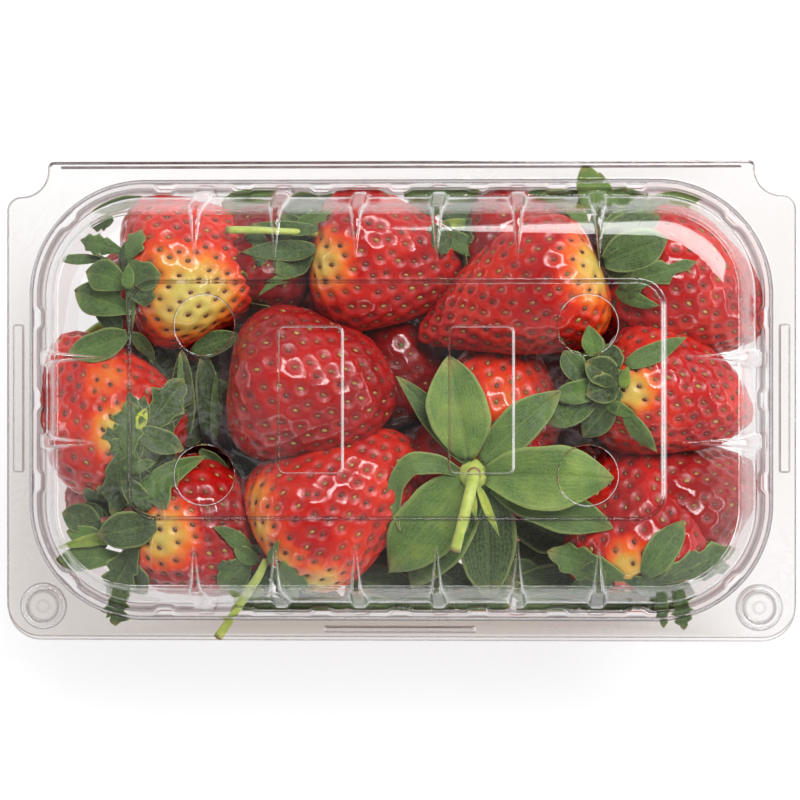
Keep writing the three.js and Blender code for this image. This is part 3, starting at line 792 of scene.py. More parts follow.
def tray_rows():
    a = lambda inset, z: (HL - inset, HW - inset, CORNER - inset, z)
    keys = [
        (*a(0.0, TRAY_H), 2.0, 0, 0, 0),
        (*a(0.4, TRAY_H), 2.0, 0, 0, 0.35),
        (*a(0.8, TRAY_H - 1.2), 2.0, 0, 0, 0.4),
        (*a(1.3, TRAY_H - 3), 2.0, 0, 0.7, 1.0),
        (*a(2.5, TRAY_H - 8), 1.9, 1.1, 0, 2.0),
        (*a(6.2, 28), 1.3, 0.8, 0, 3.0),
        (*a(9.2, 10), 0.9, 0.0, 0, 3.0),
        (*a(11.2, 4), 0.9, 0, 0, 2.4),
        (*a(15, 0.45), 0.9, 0, 0, 1.5),
        (*a(19, 0.45), 0.9, 0, 0, 0.6),
        (*a(19.7, 0.8), 0.9, 0, 0, 0.3),
        (*a(21, 0.8), 0.9, 0, 0, 0),
    ]
    return round_path(keys, 2)


def make_tray():
    b = Build()
    rows = tray_rows()
    rings = []
    for hx, hy, r, z, rh, rd, lug in rows:
        pts, side = sweep_row(hx, hy, max(r, 0.5), z, 1, 0, rh, rd, lug)
        inset = (HL - hx + HW - hy) / 2
        # painted dark line near the rim, and painted highlight on the ribs' sides
        dark = 0.5 if 0.25 <= inset < 0.65 else 0.0
        rings.append(b.ring(pts, dark, side * 0.25))
    for p, q in zip(rings, rings[1:]):
        b.strip(p, q)
    rim = outline(-FW, FW - 0.5, TRAY_H)
    inner = bead_edge(b, rim)
    holes = [rings[0]]
    for s in (-1, 1):
        prev = b.ring(circle(s * 86, -49.6, 5.2, TRAY_H))
        holes.append(prev)
        # painted dark lines on the snap rings
        for r, z, c in ((4.6, 0.0, 0), (4.3, 0.1, .3), (4.1, 0.9, 0), (3.9, 1.15, .25), (3.5, 1.2, 0)):
            nxt = b.ring(circle(s * 86, -49.6, r, TRAY_H + z), c)
            b.strip(prev, nxt)
            prev = nxt
        b.fill(prev, [])
    b.fill(inner, holes)
    # shallow bars pressed up across the floor
    floor_z = rows[-1][3]
    holes = []
    for x in (-42, -21, 0, 21, 42):
        holes.append(raised(b, (x, 0, 2.4, 22, 2.0, floor_z, 5), -0.32, 0.5, 0.1))
    b.fill(rings[-1], holes)
    ob = b.object("tray_clear", MAT_TRAY, TRAY_H)
    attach(ob, "base")
    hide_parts("tray")
    return ob


def make_hinge():
    """The thin fold that joins the two flanges at the back."""
    xs = np.linspace(-83.6, 83.6, 57)
    y0 = FW - 0.5
    mid = [(y0 - 0.5, TRAY_H - 0.31)]
    for k in range(9):
        a = -math.pi / 2 + math.pi * k / 8
        mid.append((y0 + 0.62 * math.cos(a), (TRAY_H + LID_Z - SHEET) / 2 - 0.03 + 0.62 * math.sin(a)))
    mid[1:] = [(y, TRAY_H - 0.24 + (z - (TRAY_H - 0.24)) * 1.0) for y, z in mid[1:]]
    mid.append((y0 - 0.5, LID_Z - 0.02))
    p = np.array(mid)
    t = np.gradient(p, axis=0)
    t /= np.linalg.norm(t, axis=1)[:, None]
    n = np.stack([t[:, 1], -t[:, 0]], 1)
    out, inn = p + n * 0.11, p - n * 0.11
    loop = np.concatenate([out, inn[::-1]])
    m = len(loop)
    verts = [(x, y, z) for x in xs for y, z in loop]
    quads = []
    for i in range(len(xs) - 1):
        for k in range(m):
            a, b2 = i * m + k, i * m + (k + 1) % m
            quads.append((a, a + m, b2 + m, b2))
    caps = []
    h = m // 2
    for base, flip in ((0, False), ((len(xs) - 1) * m, True)):
        for k in range(h - 1):
            f = [base + k, base + k + 1, base + m - 2 - k, base + m - 1 - k]
            caps.append(f[::-1] if flip else f)
    ob = make_object("fold_web", verts, [np.array(quads + caps)], [MAT_LID])
    ob.data.set_sharp_from_angle(angle=math.radians(55))
    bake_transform(ob)
    return ob


# --------------------------------------------------------------- strawberries
FREE_INSET = [15.8, 12, 9.9, 6.9, 3.15, 1.95, 1.65, 5.5, 6.0, 7.5, 8.5, 9.7, 11.4, 16, 26]
FREE_Z = [0.85, 4.6, 10, 28, 47, 52.0, 54.4, 56.2, 61, 70, 74, 77, 78.6, 79.5, 80.3]


def keep_inside(p, margin=0.15):
    """Moves points back inside the free space of the shut pack."""
    p = p.copy()
    p[:, 2] = np.clip(p[:, 2], FREE_Z[0] + margin * 0.2, FREE_Z[-1] - margin)
    inset = np.interp(p[:, 2], FREE_Z, FREE_INSET) + margin
    hx, hy, r = HL - inset, HW - inset, np.maximum(CORNER - inset, 5)
    qx, qy = np.abs(p[:, 0]) - (hx - r), np.abs(p[:, 1]) - (hy - r)
    d = np.hypot(np.maximum(qx, 0), np.maximum(qy, 0)) + np.minimum(np.maximum(qx, qy), 0) - r
    over = d > 0
    ox, oy = np.maximum(qx, 0), np.maximum(qy, 0)
    l = np.hypot(ox, oy) + 1e-9
    p[over, 0] -= (np.sign(p[:, 0]) * ox / l * d)[over]
    p[over, 1] -= (np.sign(p[:, 1]) * oy / l * d)[over]
    return p


def cube_sphere(n):
    """Unit directions and quads of an even cube sphere; +Y is its axis."""
    k = np.linspace(-1, 1, n + 1)
    w = np.tan(k * math.pi / 4)
    a, b = np.meshgrid(w, w, indexing="ij")
    one = np.ones_like(a)
    sides = [(one, a, b), (-one, b, a), (b, one, a), (a, -one, b), (a, b, one), (b, a, -one)]
    pts = np.concatenate([np.stack([s.ravel() for s in f], 1) for f in sides])
    i, j = np.meshgrid(np.arange(n), np.arange(n), indexing="ij")
    c = (i * (n + 1) + j).ravel()
    q = np.stack([c, c + n + 1, c + n + 2, c + 1], 1)
    quads = np.concatenate([q + f * (n + 1) ** 2 for f in range(6)])
    pts /= np.linalg.norm(pts, axis=1)[:, None]
    key = np.round(pts * 1e5).astype(int)
    _, first, back = np.unique(key, axis=0, return_index=True, return_inverse=True)
    back = back.ravel()
    pts, quads = pts[first], back[quads]
    c = pts[quads].mean(1)
    nrm = np.cross(pts[quads[:, 1]] - pts[quads[:, 0]], pts[quads[:, 3]] - pts[quads[:, 0]])
    flip = (nrm * c).sum(1) < 0
    quads[flip] = quads[flip][:, ::-1]
    return pts, quads


SPHERES = {}
GOLDEN = math.pi * (3 - math.sqrt(5))


class Berry:
    """One strawberry. Local +Y runs from the calyx to the tip."""

    def __init__(self, name, place, seed, n=43, taper=1.0, blunt=0.0, roll=0.0, flat=0.94, bend=0.0, spacing=4.35,
                 tint=0.6, pale=(), wide_end=0.0, lumps=1.0, depth=1.0, well=0.10, seeds_fine=True):
        x, y, z, heading, dip, length, width = place
        self.name, self.length, self.width = name, length, width
        rng = np.random.default_rng(seed)
        h, d = math.radians(heading), math.radians(dip)
        self.tip_dir = np.array([math.cos(h) * math.cos(d), math.sin(h) * math.cos(d), -math.sin(d)])
        self.start = np.array([x, y, z]) - self.tip_dir * length * 0.46
        side = np.cross(self.tip_dir, [0, 0, 1.0])
        if np.linalg.norm(side) < 0.2:
            side = np.array([1.0, 0, 0]) - self.tip_dir * self.tip_dir[0]
        side = unit(side)
        up = np.cross(side, self.tip_dir)
        cr, sr = math.cos(roll), math.sin(roll)
        self.ax = side * cr + up * sr
        self.az = -side * sr + up * cr
        self.taper, self.blunt, self.flat, self.bend, self.wide_end = taper, blunt, flat, bend, wide_end
        self.ph = rng.uniform(0, 2 * math.pi, 8)
        self.am = rng.uniform(0.4, 1.0, 8) * lumps
        if n not in SPHERES:
            SPHERES[n] = cube_sphere(n)
        dirs, quads = SPHERES[n]
        base = self.surface(dirs)
        normal = self.normals(base, quads)
        sp, sn, st = self.seed_places(rng, spacing)
        # nearest seed for every vertex, in the skin's own plane
        near = np.full(len(base), 1e9)
        for k in range(0, len(base), 4000):
            dd = base[k:k + 4000, None, :] - sp[None]
            along = (dd * st[None]).sum(2)
            e = np.sqrt(np.maximum((dd ** 2).sum(2) - along ** 2 * 0.28, 0))
            near[k:k + 4000] = e.min(1)
        # pit: where the skin gets painted shade round each seed
        pit = np.exp(-(near / 0.80) ** 2)
        dent = depth * np.exp(-(near / (spacing * 0.35)) ** 1.4) + well * np.exp(-(near / 0.8) ** 2)
        gloss = np.clip((near / spacing - 0.29) / 0.14, 0, 1)
        fade = np.clip((np.linalg.norm(base - np.array([0, 0, 0]), axis=1)) / 5, 0.2, 1)
        local = base + normal * (0.20 - dent * fade)[:, None]
        self.dirs, self.quads = dirs, quads
        skin = keep_inside(self.world(local))
        self.skin = skin
        nv = len(skin)
        # seeds: small flattened drops lying in the pits
        rings = 3 if seeds_fine else 2
        around = 7 if seeds_fine else 5
        sv, sf = [], []
        for r in range(rings):
            a = math.pi / 2 * r / rings
            for q in range(around):
                b = 2 * math.pi * q / around
                sv.append((math.cos(a) * math.cos(b), math.cos(a) * math.sin(b), math.sin(a)))
        sv.append((0, 0, 1))
        sv = np.array(sv)
        for r in range(rings - 1):
            for q in range(around):
                q2 = (q + 1) % around
                sf.append((r * around + q, r * around + q2, (r + 1) * around + q2, (r + 1) * around + q))
        cap = [((rings - 1) * around + q, (rings - 1) * around + (q + 1) % around, len(sv) - 1) for q in range(around)]
        bottom = [(0, around - 1 - q, around - 2 - q) for q in range(around - 2)]
        sf, st3 = np.array(sf), np.array(cap + bottom)
        size = rng.uniform(0.85, 1.15, len(sp))
        length_s, width_s, high_s = 0.74 * size, 0.46 * size, 0.36 * size
        turn = rng.normal(0, 0.12, len(sp))
        cross = np.cross(sn, st)
        t1 = st * np.cos(turn)[:, None] + cross * np.sin(turn)[:, None]
        t2 = np.cross(sn, t1)
        origin = sp - sn * ((depth + well) * 0.86 - 0.20)
        pts = (origin[:, None, :] + t1[:, None, :] * (sv[:, 0] * 1.0)[None, :, None] * length_s[:, None, None]
               + t2[:, None, :] * sv[:, 1][None, :, None] * width_s[:, None, None]
               + sn[:, None, :] * sv[:, 2][None, :, None] * high_s[:, None, None])
        seeds = keep_inside(self.world(pts.reshape(-1, 3)), 0.3)
        k = np.arange(len(sp))[:, None, None] * len(sv) + nv
        quads_s = (sf[None] + k).reshape(-1, 4)
        tris_s = (st3[None] + k).reshape(-1, 3)
        verts = np.concatenate([skin, seeds])
        # colour attributes
        blush = np.zeros(len(verts))
        for px, py, radius, strength in pale:
            c = self.top_point(px, py)
            dist = np.linalg.norm(verts - c, axis=1)
            blush = np.maximum(blush, strength * np.clip(1.25 - dist / radius, 0, 1))
        blush, seed_blush = blush[:nv], blush[nv:]
        fade_c = np.clip(1 - (np.linalg.norm(base[:, [0, 2]], axis=1) + np.maximum(base[:, 1], 0)) / (width * 0.34), 0, 1)
        blush = np.maximum(blush, fade_c * 0.85)
        tints = np.full(nv, tint) + 0.06 * np.sin(base @ np.array([0.21, 0.17, 0.13]) + self.ph[0])
        spot = np.repeat(rng.uniform(0, 1, len(sp)), len(sv))
        attrs = {
            "pale": np.concatenate([blush, seed_blush]),
            "gloss": np.concatenate([gloss, np.zeros(len(seeds))]),
            "pit": np.concatenate([pit, np.ones(len(seeds))]),
            "tint": np.concatenate([tints, np.full(len(seeds), tint)]),
            "blotch": np.concatenate([np.full(nv, 0.5), spot]),
        }
        index = np.concatenate([np.zeros(len(quads)), np.ones(len(quads_s)), np.ones(len(tris_s))])
        self.ob = make_object(name, verts, [quads, quads_s, tris_s], [MAT_FRUIT, MAT_SEED], attrs, index)
        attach(self.ob, "base")
        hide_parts("berries")

    def radius(self, t):
        """Shape factor over a plain ellipsoid, along the length."""
        s = 1.50 - 1.06 * self.taper * t + self.blunt * np.exp(-((t - 0.86) / 0.2) ** 2)
        s = s + self.wide_end * np.exp(-((t - 0.2) / 0.18) ** 2)
        return s

    def surface(self, dirs):
        cy = dirs[:, 1]
        th = np.arccos(np.clip(-cy, -1, 1))               # 0 at the calyx
        t = 0.5 * (1 - np.cos(th))
        phi = np.arctan2(dirs[:, 2], dirs[:, 0])
        tt = np.linspace(0.01, 0.99, 99)
        top = (2 * np.sqrt(tt * (1 - tt)) * self.radius(tt)).max()
        rho = np.sin(th) * self.radius(t) / top
        p, a = self.ph, self.am
        lump = 1 + 0.030 * a[0] * np.sin(2 * phi + p[0]) + 0.026 * a[1] * np.sin(3 * phi + p[1] + 2 * t) \
            + 0.020 * a[2] * np.sin(phi + 5 * t + p[2]) + 0.018 * a[3] * np.sin(4 * phi + p[3] - 4 * t) \
            + 0.012 * a[4] * np.sin(6 * phi + p[4] + 3 * t)
        rho = rho * lump * self.width / 2
        y = self.length * (t + 0.055 * np.exp(-(th / 0.42) ** 2) + 0.012 * a[5] * np.sin(2 * phi + p[5]) * np.sin(th))
        x = rho * np.cos(phi) + self.bend * self.length * (t - 0.45) ** 2
        z = rho * np.sin(phi) * self.flat
        return np.stack([x, y, z], 1)

    @staticmethod
    def normals(v, quads):
        n = np.cross(v[quads[:, 2]] - v[quads[:, 0]], v[quads[:, 3]] - v[quads[:, 1]])
        out = np.zeros_like(v)
        for k in range(4):
            np.add.at(out, quads[:, k], n)
        return out / (np.linalg.norm(out, axis=1)[:, None] + 1e-12)

    def seed_places(self, rng, spacing):
        th = np.linspace(0.0, math.pi, 400)
        ring = self.surface(np.stack([np.sin(th), -np.cos(th), np.zeros_like(th)], 1))
        rad = np.hypot(ring[:, 0], ring[:, 2])
        step = np.linalg.norm(np.diff(ring, axis=0), axis=1)
        t = 0.5 * (1 - np.cos(th))
        dens = (0.78 + 0.55 * t)[1:] * np.clip((th[1:] - 0.30) / 0.25, 0, 1)
        area = np.concatenate([[0], np.cumsum(step * 2 * math.pi * (rad[1:] + rad[:-1]) / 2 * dens)])
        count = int(area[-1] / (spacing ** 2 * 0.866))
        k = np.arange(count)
        at = np.interp((k + 0.5) / count * area[-1], area, th) + rng.normal(0, 0.010, count)
        phi = k * GOLDEN + rng.normal(0, 0.035, count)

        def place(th_, ph_):
            return self.surface(np.stack([np.sin(th_) * np.cos(ph_), -np.cos(th_), np.sin(th_) * np.sin(ph_)], 1))

        p = place(at, phi)
        e = 0.01
        a, b = place(at + e, phi) - p, place(at, phi + e) - p
        n = np.cross(a, b)
        n /= np.linalg.norm(n, axis=1)[:, None] + 1e-12
        mid = np.array([0, self.length * 0.45, 0])
        n[((p - mid) * n).sum(1) < 0] *= -1
        a /= np.linalg.norm(a, axis=1)[:, None] + 1e-12
        return p, n, a

    def world(self, local):
        return self.start + local[:, :1] * self.ax + local[:, 1:2] * self.tip_dir + local[:, 2:3] * self.az

    def top_point(self, px, py):
        """The point of the skin that the camera sees under a pixel."""
        z = self.start[2] + 10
        for _ in range(3):
            p = at_px(px, py, z)
            d = np.hypot(self.skin[:, 0] - p[0], self.skin[:, 1] - p[1])
            near = d < 1.6
            if not near.any():
                near = d < d.min() + 1.0
            z = self.skin[near, 2].max()
        return at_px(px, py, z)


UPPER = {
    "B1": ((-51, 31.5, 54.5, 10, 10, 38, 37), dict(seed=11, n=47, tint=0.86, spacing=4.2, pale=[(194, 302, 13.5, 1.1), (170, 270, 9, 0.6)], taper=0.9, blunt=0.18)),
    "B3": ((-4.8, 33.5, 54, -8, 6, 41, 34.5), dict(seed=12, n=47, tint=0.68, pale=[(320, 262, 9, 0.80)], taper=0.92, blunt=0.15)),
    "B5": ((29, 25, 57.5, 202, 3, 50, 35), dict(seed=13, n=47, tint=0.74, spacing=4.0, pale=[(600, 268, 11, 0.85), (612, 318, 9, 0.36)], taper=1.02, wide_end=0.05)),
    "B6": ((68, 27, 51, -25, 8, 43, 38), dict(seed=14, tint=0.74, taper=0.9, blunt=0.1)),
    # B7's tint is set lower, as painted shade under the steep wall
    "B7": ((-70.8, -3.5, 53, 122, 8, 43, 37), dict(seed=15, tint=0.84, pale=[(120, 432, 8, 0.95), (105, 375, 8, 0.4)], taper=0.85)),
    "B8": ((-23.2, 3.2, 60.5, -8, 4, 43, 38), dict(seed=16, n=47, tint=0.56, spacing=4.7, taper=0.85, blunt=0.25)),
    "B9": ((-16.6, -25, 57, 36, 0, 47, 37), dict(seed=17, n=47, tint=0.82, pale=[(252, 496, 7, 0.62), (256, 530, 7.5, 0.66), (276, 564, 8, 0.62), (318, 590, 9, 0.85)], taper=0.9, blunt=0.2)),
    "B10": ((-48.0, -32.0, 52, -25, 6, 36, 35), dict(seed=18, tint=0.55, pale=[(160, 535, 9.5, 0.9)], taper=0.85, blunt=0.15)),
    "B11": ((24, 1.5, 48, 80, 15, 36, 32), dict(seed=19, tint=0.95, pale=[(505, 400, 9, 0.35)])),
    "B12": ((63.9, 1.7, 57.5, -16, 6, 40.5, 32.5), dict(seed=20, n=47, tint=0.76, spacing=4.2, pale=[(632, 392, 7, 0.85)], taper=0.95, blunt=0.15)),
    "B13": ((56.5, -30, 52, 96, 4, 39, 37), dict(seed=21, tint=0.68, pale=[(628, 568, 7, 0.8)], taper=0.9, blunt=0.1)),
    "B16": ((19, -16.5, 50, 270, 82, 38, 34), dict(seed=22, tint=0.6)),
}
MIDDLE = {
    "M1": (-34, 36, 48.5, 60, 15, 34, 32), "M2": (31, 36.5, 48.5, 0, 5, 40, 31), "M3": (71, -24, 46, 20, 20, 38, 34),
    "M4": (-70, -21, 36, 200, 20, 34, 29), "M5": (0, 8, 38, 0, 40, 36, 32), "M6": (38, -24, 34, 290, 30, 32, 27),
    "M7": (-61, 23, 40, 20, 5, 30, 29), "M8": (-14, -20.5, 37, 200, 14, 36, 31),
}


def make_berries():
    out = {}
    for k, (place, opts) in UPPER.items():
        out[k] = Berry("berry_" + k[1:].zfill(2), place, **opts)
    for i, (k, place) in enumerate(MIDDLE.items()):
        out[k] = Berry("berry_mid_%d" % (i + 1), place, seed=40 + i, n=34 if i < 3 else 24, tint=0.30 + 0.10 * (i % 4), seeds_fine=i < 3)
    for i in range(4):
        for j in range(2):
            k = i * 2 + j
            w = math.sin(k * 2.4)
            size = 36 + 2 * math.sin(k * 1.7)
            place = ((i / 3 * 2 - 1) * 60 + 1.5 * w, (j * 2 - 1) * 21.5 + math.cos(k * 3.1), 19.6 + 0.5 * w,
                     math.degrees(math.radians(k * 137.5)), 12 * math.cos(k * 1.3), size * 1.12, size)
            out["L%d" % k] = Berry("berry_low_%d" % (k + 1), place, seed=60 + k, n=20, tint=0.45 + 0.09 * (k % 5), seeds_fine=False)
    return out


def make_core():
    dirs, quads = cube_sphere(18)
    p = np.sign(dirs) * np.abs(dirs) ** 0.55
    p = p * np.array([52, 21, 15]) + np.array([0, 0, 27])
    k = dirs @ np.array([[7.0, 2, 1], [3, 8, 2], [1, 3, 9]])
    p = p * 1.0 + dirs * (np.sin(k[:, :1] * 2) + np.sin(k[:, 1:2] * 2.3) + np.sin(k[:, 2:] * 1.9)) * 1.1
    ob = make_object("packed_core", p, [quads], [MAT_CORE])
    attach(ob, "base")
    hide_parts("berries")
    return ob


# ------------------------------------------------------- leaves of the calyxes
def ceiling(x, y):
    return np.interp(inset_of(x, y), FREE_INSET[7:], FREE_Z[7:])


# where a leaf or stem squeezed out over the rim lies: under the lid's bead,
# then down between the two flanges
RIM_INSET = [-12, 0.50, 0.95, 1.50, 3.2, 4.6, 6.0]
RIM_Z = [55.34, 55.34, 55.5, 56.4, 57.0, 57.3, 57.6]


class Heights:
    """The top of the heap over a 1 mm grid."""

    def __init__(self, berries):
        self.h = np.zeros((200, 130))
        for b in berries:
            self.add(b.skin)
        h = self.h
        for _ in range(2):
            m = h.copy()
            for dx, dy in ((1, 0), (-1, 0), (0, 1), (0, -1)):
                m = np.maximum(m, np.roll(np.roll(h, dx, 0), dy, 1) * (h == 0))
            h = m
        self.h = h

    def add(self, p):
        i = np.clip(np.round(p[:, 0] + 100).astype(int), 0, 199)
        j = np.clip(np.round(p[:, 1] + 65).astype(int), 0, 129)
        np.maximum.at(self.h, (i, j), p[:, 2])

    def at(self, x, y):
        i = np.clip(x + 100, 0, 198.9)
        j = np.clip(y + 65, 0, 128.9)
        i0, j0 = i.astype(int), j.astype(int)
        u, v = i - i0, j - j0
        h = self.h
        return ((1 - u) * (1 - v) * h[i0, j0] + u * (1 - v) * h[np.minimum(i0 + 1, 199), j0]
                + (1 - u) * v * h[i0, np.minimum(j0 + 1, 129)] + u * v * h[np.minimum(i0 + 1, 199), np.minimum(j0 + 1, 129)])


OVAL = ([0, .06, .18, .36, .55, .74, .88, .96, 1], [.30, .46, .76, .98, 1, .80, .46, .20, .02])
LANCE = ([0, .06, .20, .38, .55, .74, .88, .96, 1], [.34, .56, .88, 1, .90, .62, .34, .14, .02])
WEDGE = ([0, .08, .22, .42, .60, .74, .86, .95, 1], [.24, .38, .62, .90, 1, .90, .62, .28, .02])
STRAP = ([0, .06, .20, .38, .55, .74, .88, .96, 1], [.60, .72, .90, 1, .95, .78, .50, .26, .04])


def leaf(base, tip, width, shape=OVAL, bend=0.0, arch=2.0, cup=0.5, curl=0.0, ruffle=0.5, teeth=0.0, shade=0.5,
         seed=0, nt=16, ns=8, thick=0.26, heights=None, lift=0.6, rim=False, twist=0.0, rest=True, sag=0.0, warm=0.5):
    """One leaf of a calyx as a thin closed solid, from base to tip (mm)."""
    rng = np.random.default_rng(seed + 1000)
    base, tip = np.array(base, float), np.array(tip, float)
    d = tip - base
    length = np.linalg.norm(d)
    flat = unit([-d[1], d[0], 0]) if np.hypot(d[0], d[1]) > 1e-3 else np.array([1.0, 0, 0])
    t = np.linspace(0, 1, nt + 1) ** 0.93
    mid = (base + tip) / 2 + flat * bend + np.array([0, 0, arch])
    spine = ((1 - t) ** 2)[:, None] * base + (2 * t * (1 - t))[:, None] * mid + (t * t)[:, None] * tip
    spine[:, 2] -= curl * np.clip((t - 0.62) / 0.38, 0, 1) ** 2 + sag * t * t
    tan = np.gradient(spine, axis=0)
    tan /= np.linalg.norm(tan, axis=1)[:, None] + 1e-12
    side = np.cross(np.array([0, 0, 1.0]), tan)
    sl = np.linalg.norm(side, axis=1)[:, None]
    side = np.where(sl > 0.15, side / np.maximum(sl, 1e-6), flat)
    up = np.cross(tan, side)
    if twist:
        a = twist * t[:, None]
        side, up = side * np.cos(a) + up * np.sin(a), up * np.cos(a) - side * np.sin(a)
    half = catmull(*shape, t) * width / 2
    s = np.linspace(-1, 1, ns + 1)
    ph = rng.uniform(0, 6.28, 6)
    v = np.zeros((nt + 1, ns + 1, 3))
    for k, sk in enumerate(s):
        saw = (t * (3.6 + 1.2 * np.sin(ph[1])) + ph[0] * (sk > 0)) % 1
        jag = 1 + teeth * (np.abs(sk) ** 2) * (np.minimum(saw / 0.72, (1 - saw) / 0.28) - 0.5) * np.clip(t * 3 - 0.6, 0, 1) * 1.5
        jag = jag + 0.05 * np.sin(t * 9 + ph[1] + 2 * sk) * abs(sk)
        off = half * sk * jag
        z = cup * width * 0.10 * (sk * sk - 0.3) * np.sin(np.pi * np.clip(t, 0.05, 1)) \
            + ruffle * 0.09 * width * abs(sk) ** 1.5 * np.sin(t * (6.5 + 2 * np.sin(ph[2])) + ph[3 + (sk > 0)]) \
            - 0.035 * width * np.exp(-(sk / 0.14) ** 2) + 0.03 * width * np.sin(t * 4 + sk * 2.2 + ph[5])
        v[:, k] = spine + side * off[:, None] + up * z[:, None]
    if heights is not None and rest:
        h = heights.at(v[..., 0], v[..., 1]) + lift
        need = np.maximum(h - v[..., 2], 0)
        need = np.minimum(need, 14)
        for _ in range(5):
            p = np.pad(need, 1, mode="edge")
            blur = (p[:-2, 1:-1] + p[2:, 1:-1] + p[1:-1, :-2] + p[1:-1, 2:] + 2 * p[1:-1, 1:-1]) / 6
            need = np.maximum(blur, need * 0.92)
        v[..., 2] += need
    ins = inset_of(v[..., 0], v[..., 1])
    if rim:
        z = np.interp(ins, RIM_INSET, RIM_Z)
        w = np.clip((7.0 - ins) / 3.0, 0, 1)
        v[..., 2] = v[..., 2] * (1 - w) + z * w
        top = np.where(ins > 6, ceiling(v[..., 0], v[..., 1]) - 0.6, 99)
        v[..., 2] = np.minimum(v[..., 2], top)
    else:
        flatv = v.reshape(-1, 3)
        flatv = keep_inside(flatv, 0.5)
        v = flatv.reshape(v.shape)
        v[..., 2] = np.minimum(v[..., 2], ceiling(v[..., 0], v[..., 1]) - 0.55)
    # closed thin solid: upper and lower side, sewn at the edge
    du, dv = np.gradient(v, axis=0), np.gradient(v, axis=1)
    n = np.cross(du, dv)
    n /= np.linalg.norm(n, axis=2)[..., None] + 1e-12
    n *= np.sign((n[..., 2:3]).sum() or 1)
    ss, tt = np.meshgrid(s, t)
    th = thick * (0.35 + 0.65 * np.sqrt(np.clip(1 - ss ** 2, 0, 1))) * np.clip((1 - tt) * 6, 0.35, 1)
    if rim:
        th = np.minimum(th, 0.24)
    upper, lower = v + n * th[..., None] / 2, v - n * th[..., None] / 2
    m = (nt + 1) * (ns + 1)
    idx = np.arange(m).reshape(nt + 1, ns + 1)
    q = np.stack([idx[:-1, :-1], idx[1:, :-1], idx[1:, 1:], idx[:-1, 1:]], -1).reshape(-1, 4)
    a, b, c = v[0, 0], v[1, 0], v[1, 1]
    if np.cross(b - a, c - a)[2] < 0:
        q = q[:, ::-1]
        ringdir = 1
    else:
        ringdir = -1
    ring = np.concatenate([idx[0, :-1], idx[:-1, -1], idx[-1, :0:-1], idx[:0:-1, 0]])
    r2 = np.roll(ring, -1)
    sew = np.stack([ring, r2, r2 + m, ring + m], 1)
    if ringdir > 0:
        sew = sew[:, ::-1]
    faces = np.concatenate([q, q[:, ::-1] + m, sew])
    return {"v": np.concatenate([upper.reshape(-1, 3), lower.reshape(-1, 3)]), "q": faces,
            "t": np.tile(tt.ravel(), 2), "s": np.tile(ss.ravel(), 2), "warm": np.full(2 * m, warm),
            "shade": np.concatenate([np.full(m, shade), np.full(m, min(1, shade + 0.12))])}


def tube(points, radii, around=12, shade=0.5, squash=None, dome=True):
    """A closed round stem through the points, with rounded ends."""
    p = np.array(points, float)
    k = np.linspace(0, 1, len(p))
    n = max(10, int(np.linalg.norm(np.diff(p, axis=0), axis=1).sum() / 1.1))
    u = np.linspace(0, 1, n + 1)
    c = np.stack([catmull(k, p[:, i], u) for i in range(3)], 1)
    r = np.interp(u, np.linspace(0, 1, len(radii)), radii)
    tan = np.gradient(c, axis=0)
    tan /= np.linalg.norm(tan, axis=1)[:, None]
    ref = np.cross(tan, [0, 0, 1.0])
    bad = np.linalg.norm(ref, axis=1) < 0.1
    ref[bad] = [1.0, 0, 0]
    a = ref / np.linalg.norm(ref, axis=1)[:, None]
    b = np.cross(a, tan)
    flat = np.ones(n + 1) if squash is None else np.interp(u, np.linspace(0, 1, len(squash)), squash)
    q = np.arange(around) / around * 2 * math.pi
    v = (c[:, None] + a[:, None] * np.cos(q)[None, :, None] * r[:, None, None]
         + b[:, None] * np.sin(q)[None, :, None] * (r * flat)[:, None, None]).reshape(-1, 3)
    i, j = np.meshgrid(np.arange(n), np.arange(around), indexing="ij")
    o, o2 = i * around + j, i * around + (j + 1) % around
    quads = np.stack([o, o2, o2 + around, o + around], -1).reshape(-1, 4)
    e0, e1 = len(v), len(v) + 1
    v = np.concatenate([v, [c[0] - tan[0] * r[0] * 0.25, c[-1] + tan[-1] * r[-1] * 0.25]])
    j = np.arange(around)
    tris = np.concatenate([np.stack([np.full(around, e0), (j + 1) % around, j], 1),
                           np.stack([np.full(around, e1), n * around + j, n * around + (j + 1) % around], 1)])
    t = np.concatenate([np.repeat(u, around), [0, 1]])
    return {"v": v, "q": quads, "tri": tris, "t": t, "s": np.zeros(len(v)), "shade": np.full(len(v), shade), "warm": np.full(len(v), 0.5)}


def join(name, parts, stems=(), body="base"):
    """Puts leaves and stems in one object with both materials."""
    v, q, tri, t, s, sh, wa, iq, it = [], [], [], [], [], [], [], [], []
    at = 0
    for k, part in enumerate([*parts, *stems]):
        m = 0 if k < len(parts) else 1
        v.append(part["v"])
        q.append(part["q"] + at)
        iq.append(np.full(len(part["q"]), m))
        if "tri" in part:
            tri.append(part["tri"] + at)
            it.append(np.full(len(part["tri"]), m))
        t.append(part["t"])
        s.append(part["s"])
        sh.append(part["shade"])
        wa.append(part["warm"])
        at += len(part["v"])
    faces = [np.concatenate(q)] + ([np.concatenate(tri)] if tri else [])
    index = np.concatenate(iq + it)
    ob = make_object(name, np.concatenate(v), faces, [MAT_LEAF, MAT_STEM],
                     {"leaf_t": np.concatenate(t), "leaf_s": np.concatenate(s), "shade": np.concatenate(sh),
                      "warm": np.concatenate(wa)}, index)
    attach(ob, body)
    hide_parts("berries")
    return ob


def px_leaf(b, zb, t, zt, w, heights, **k):
    """A leaf whose base and tip lie under two pixels, at two heights; w in pixels."""
    return leaf(at_px(*b, zb), at_px(*t, zt), w * 0.238, heights=heights, **k)


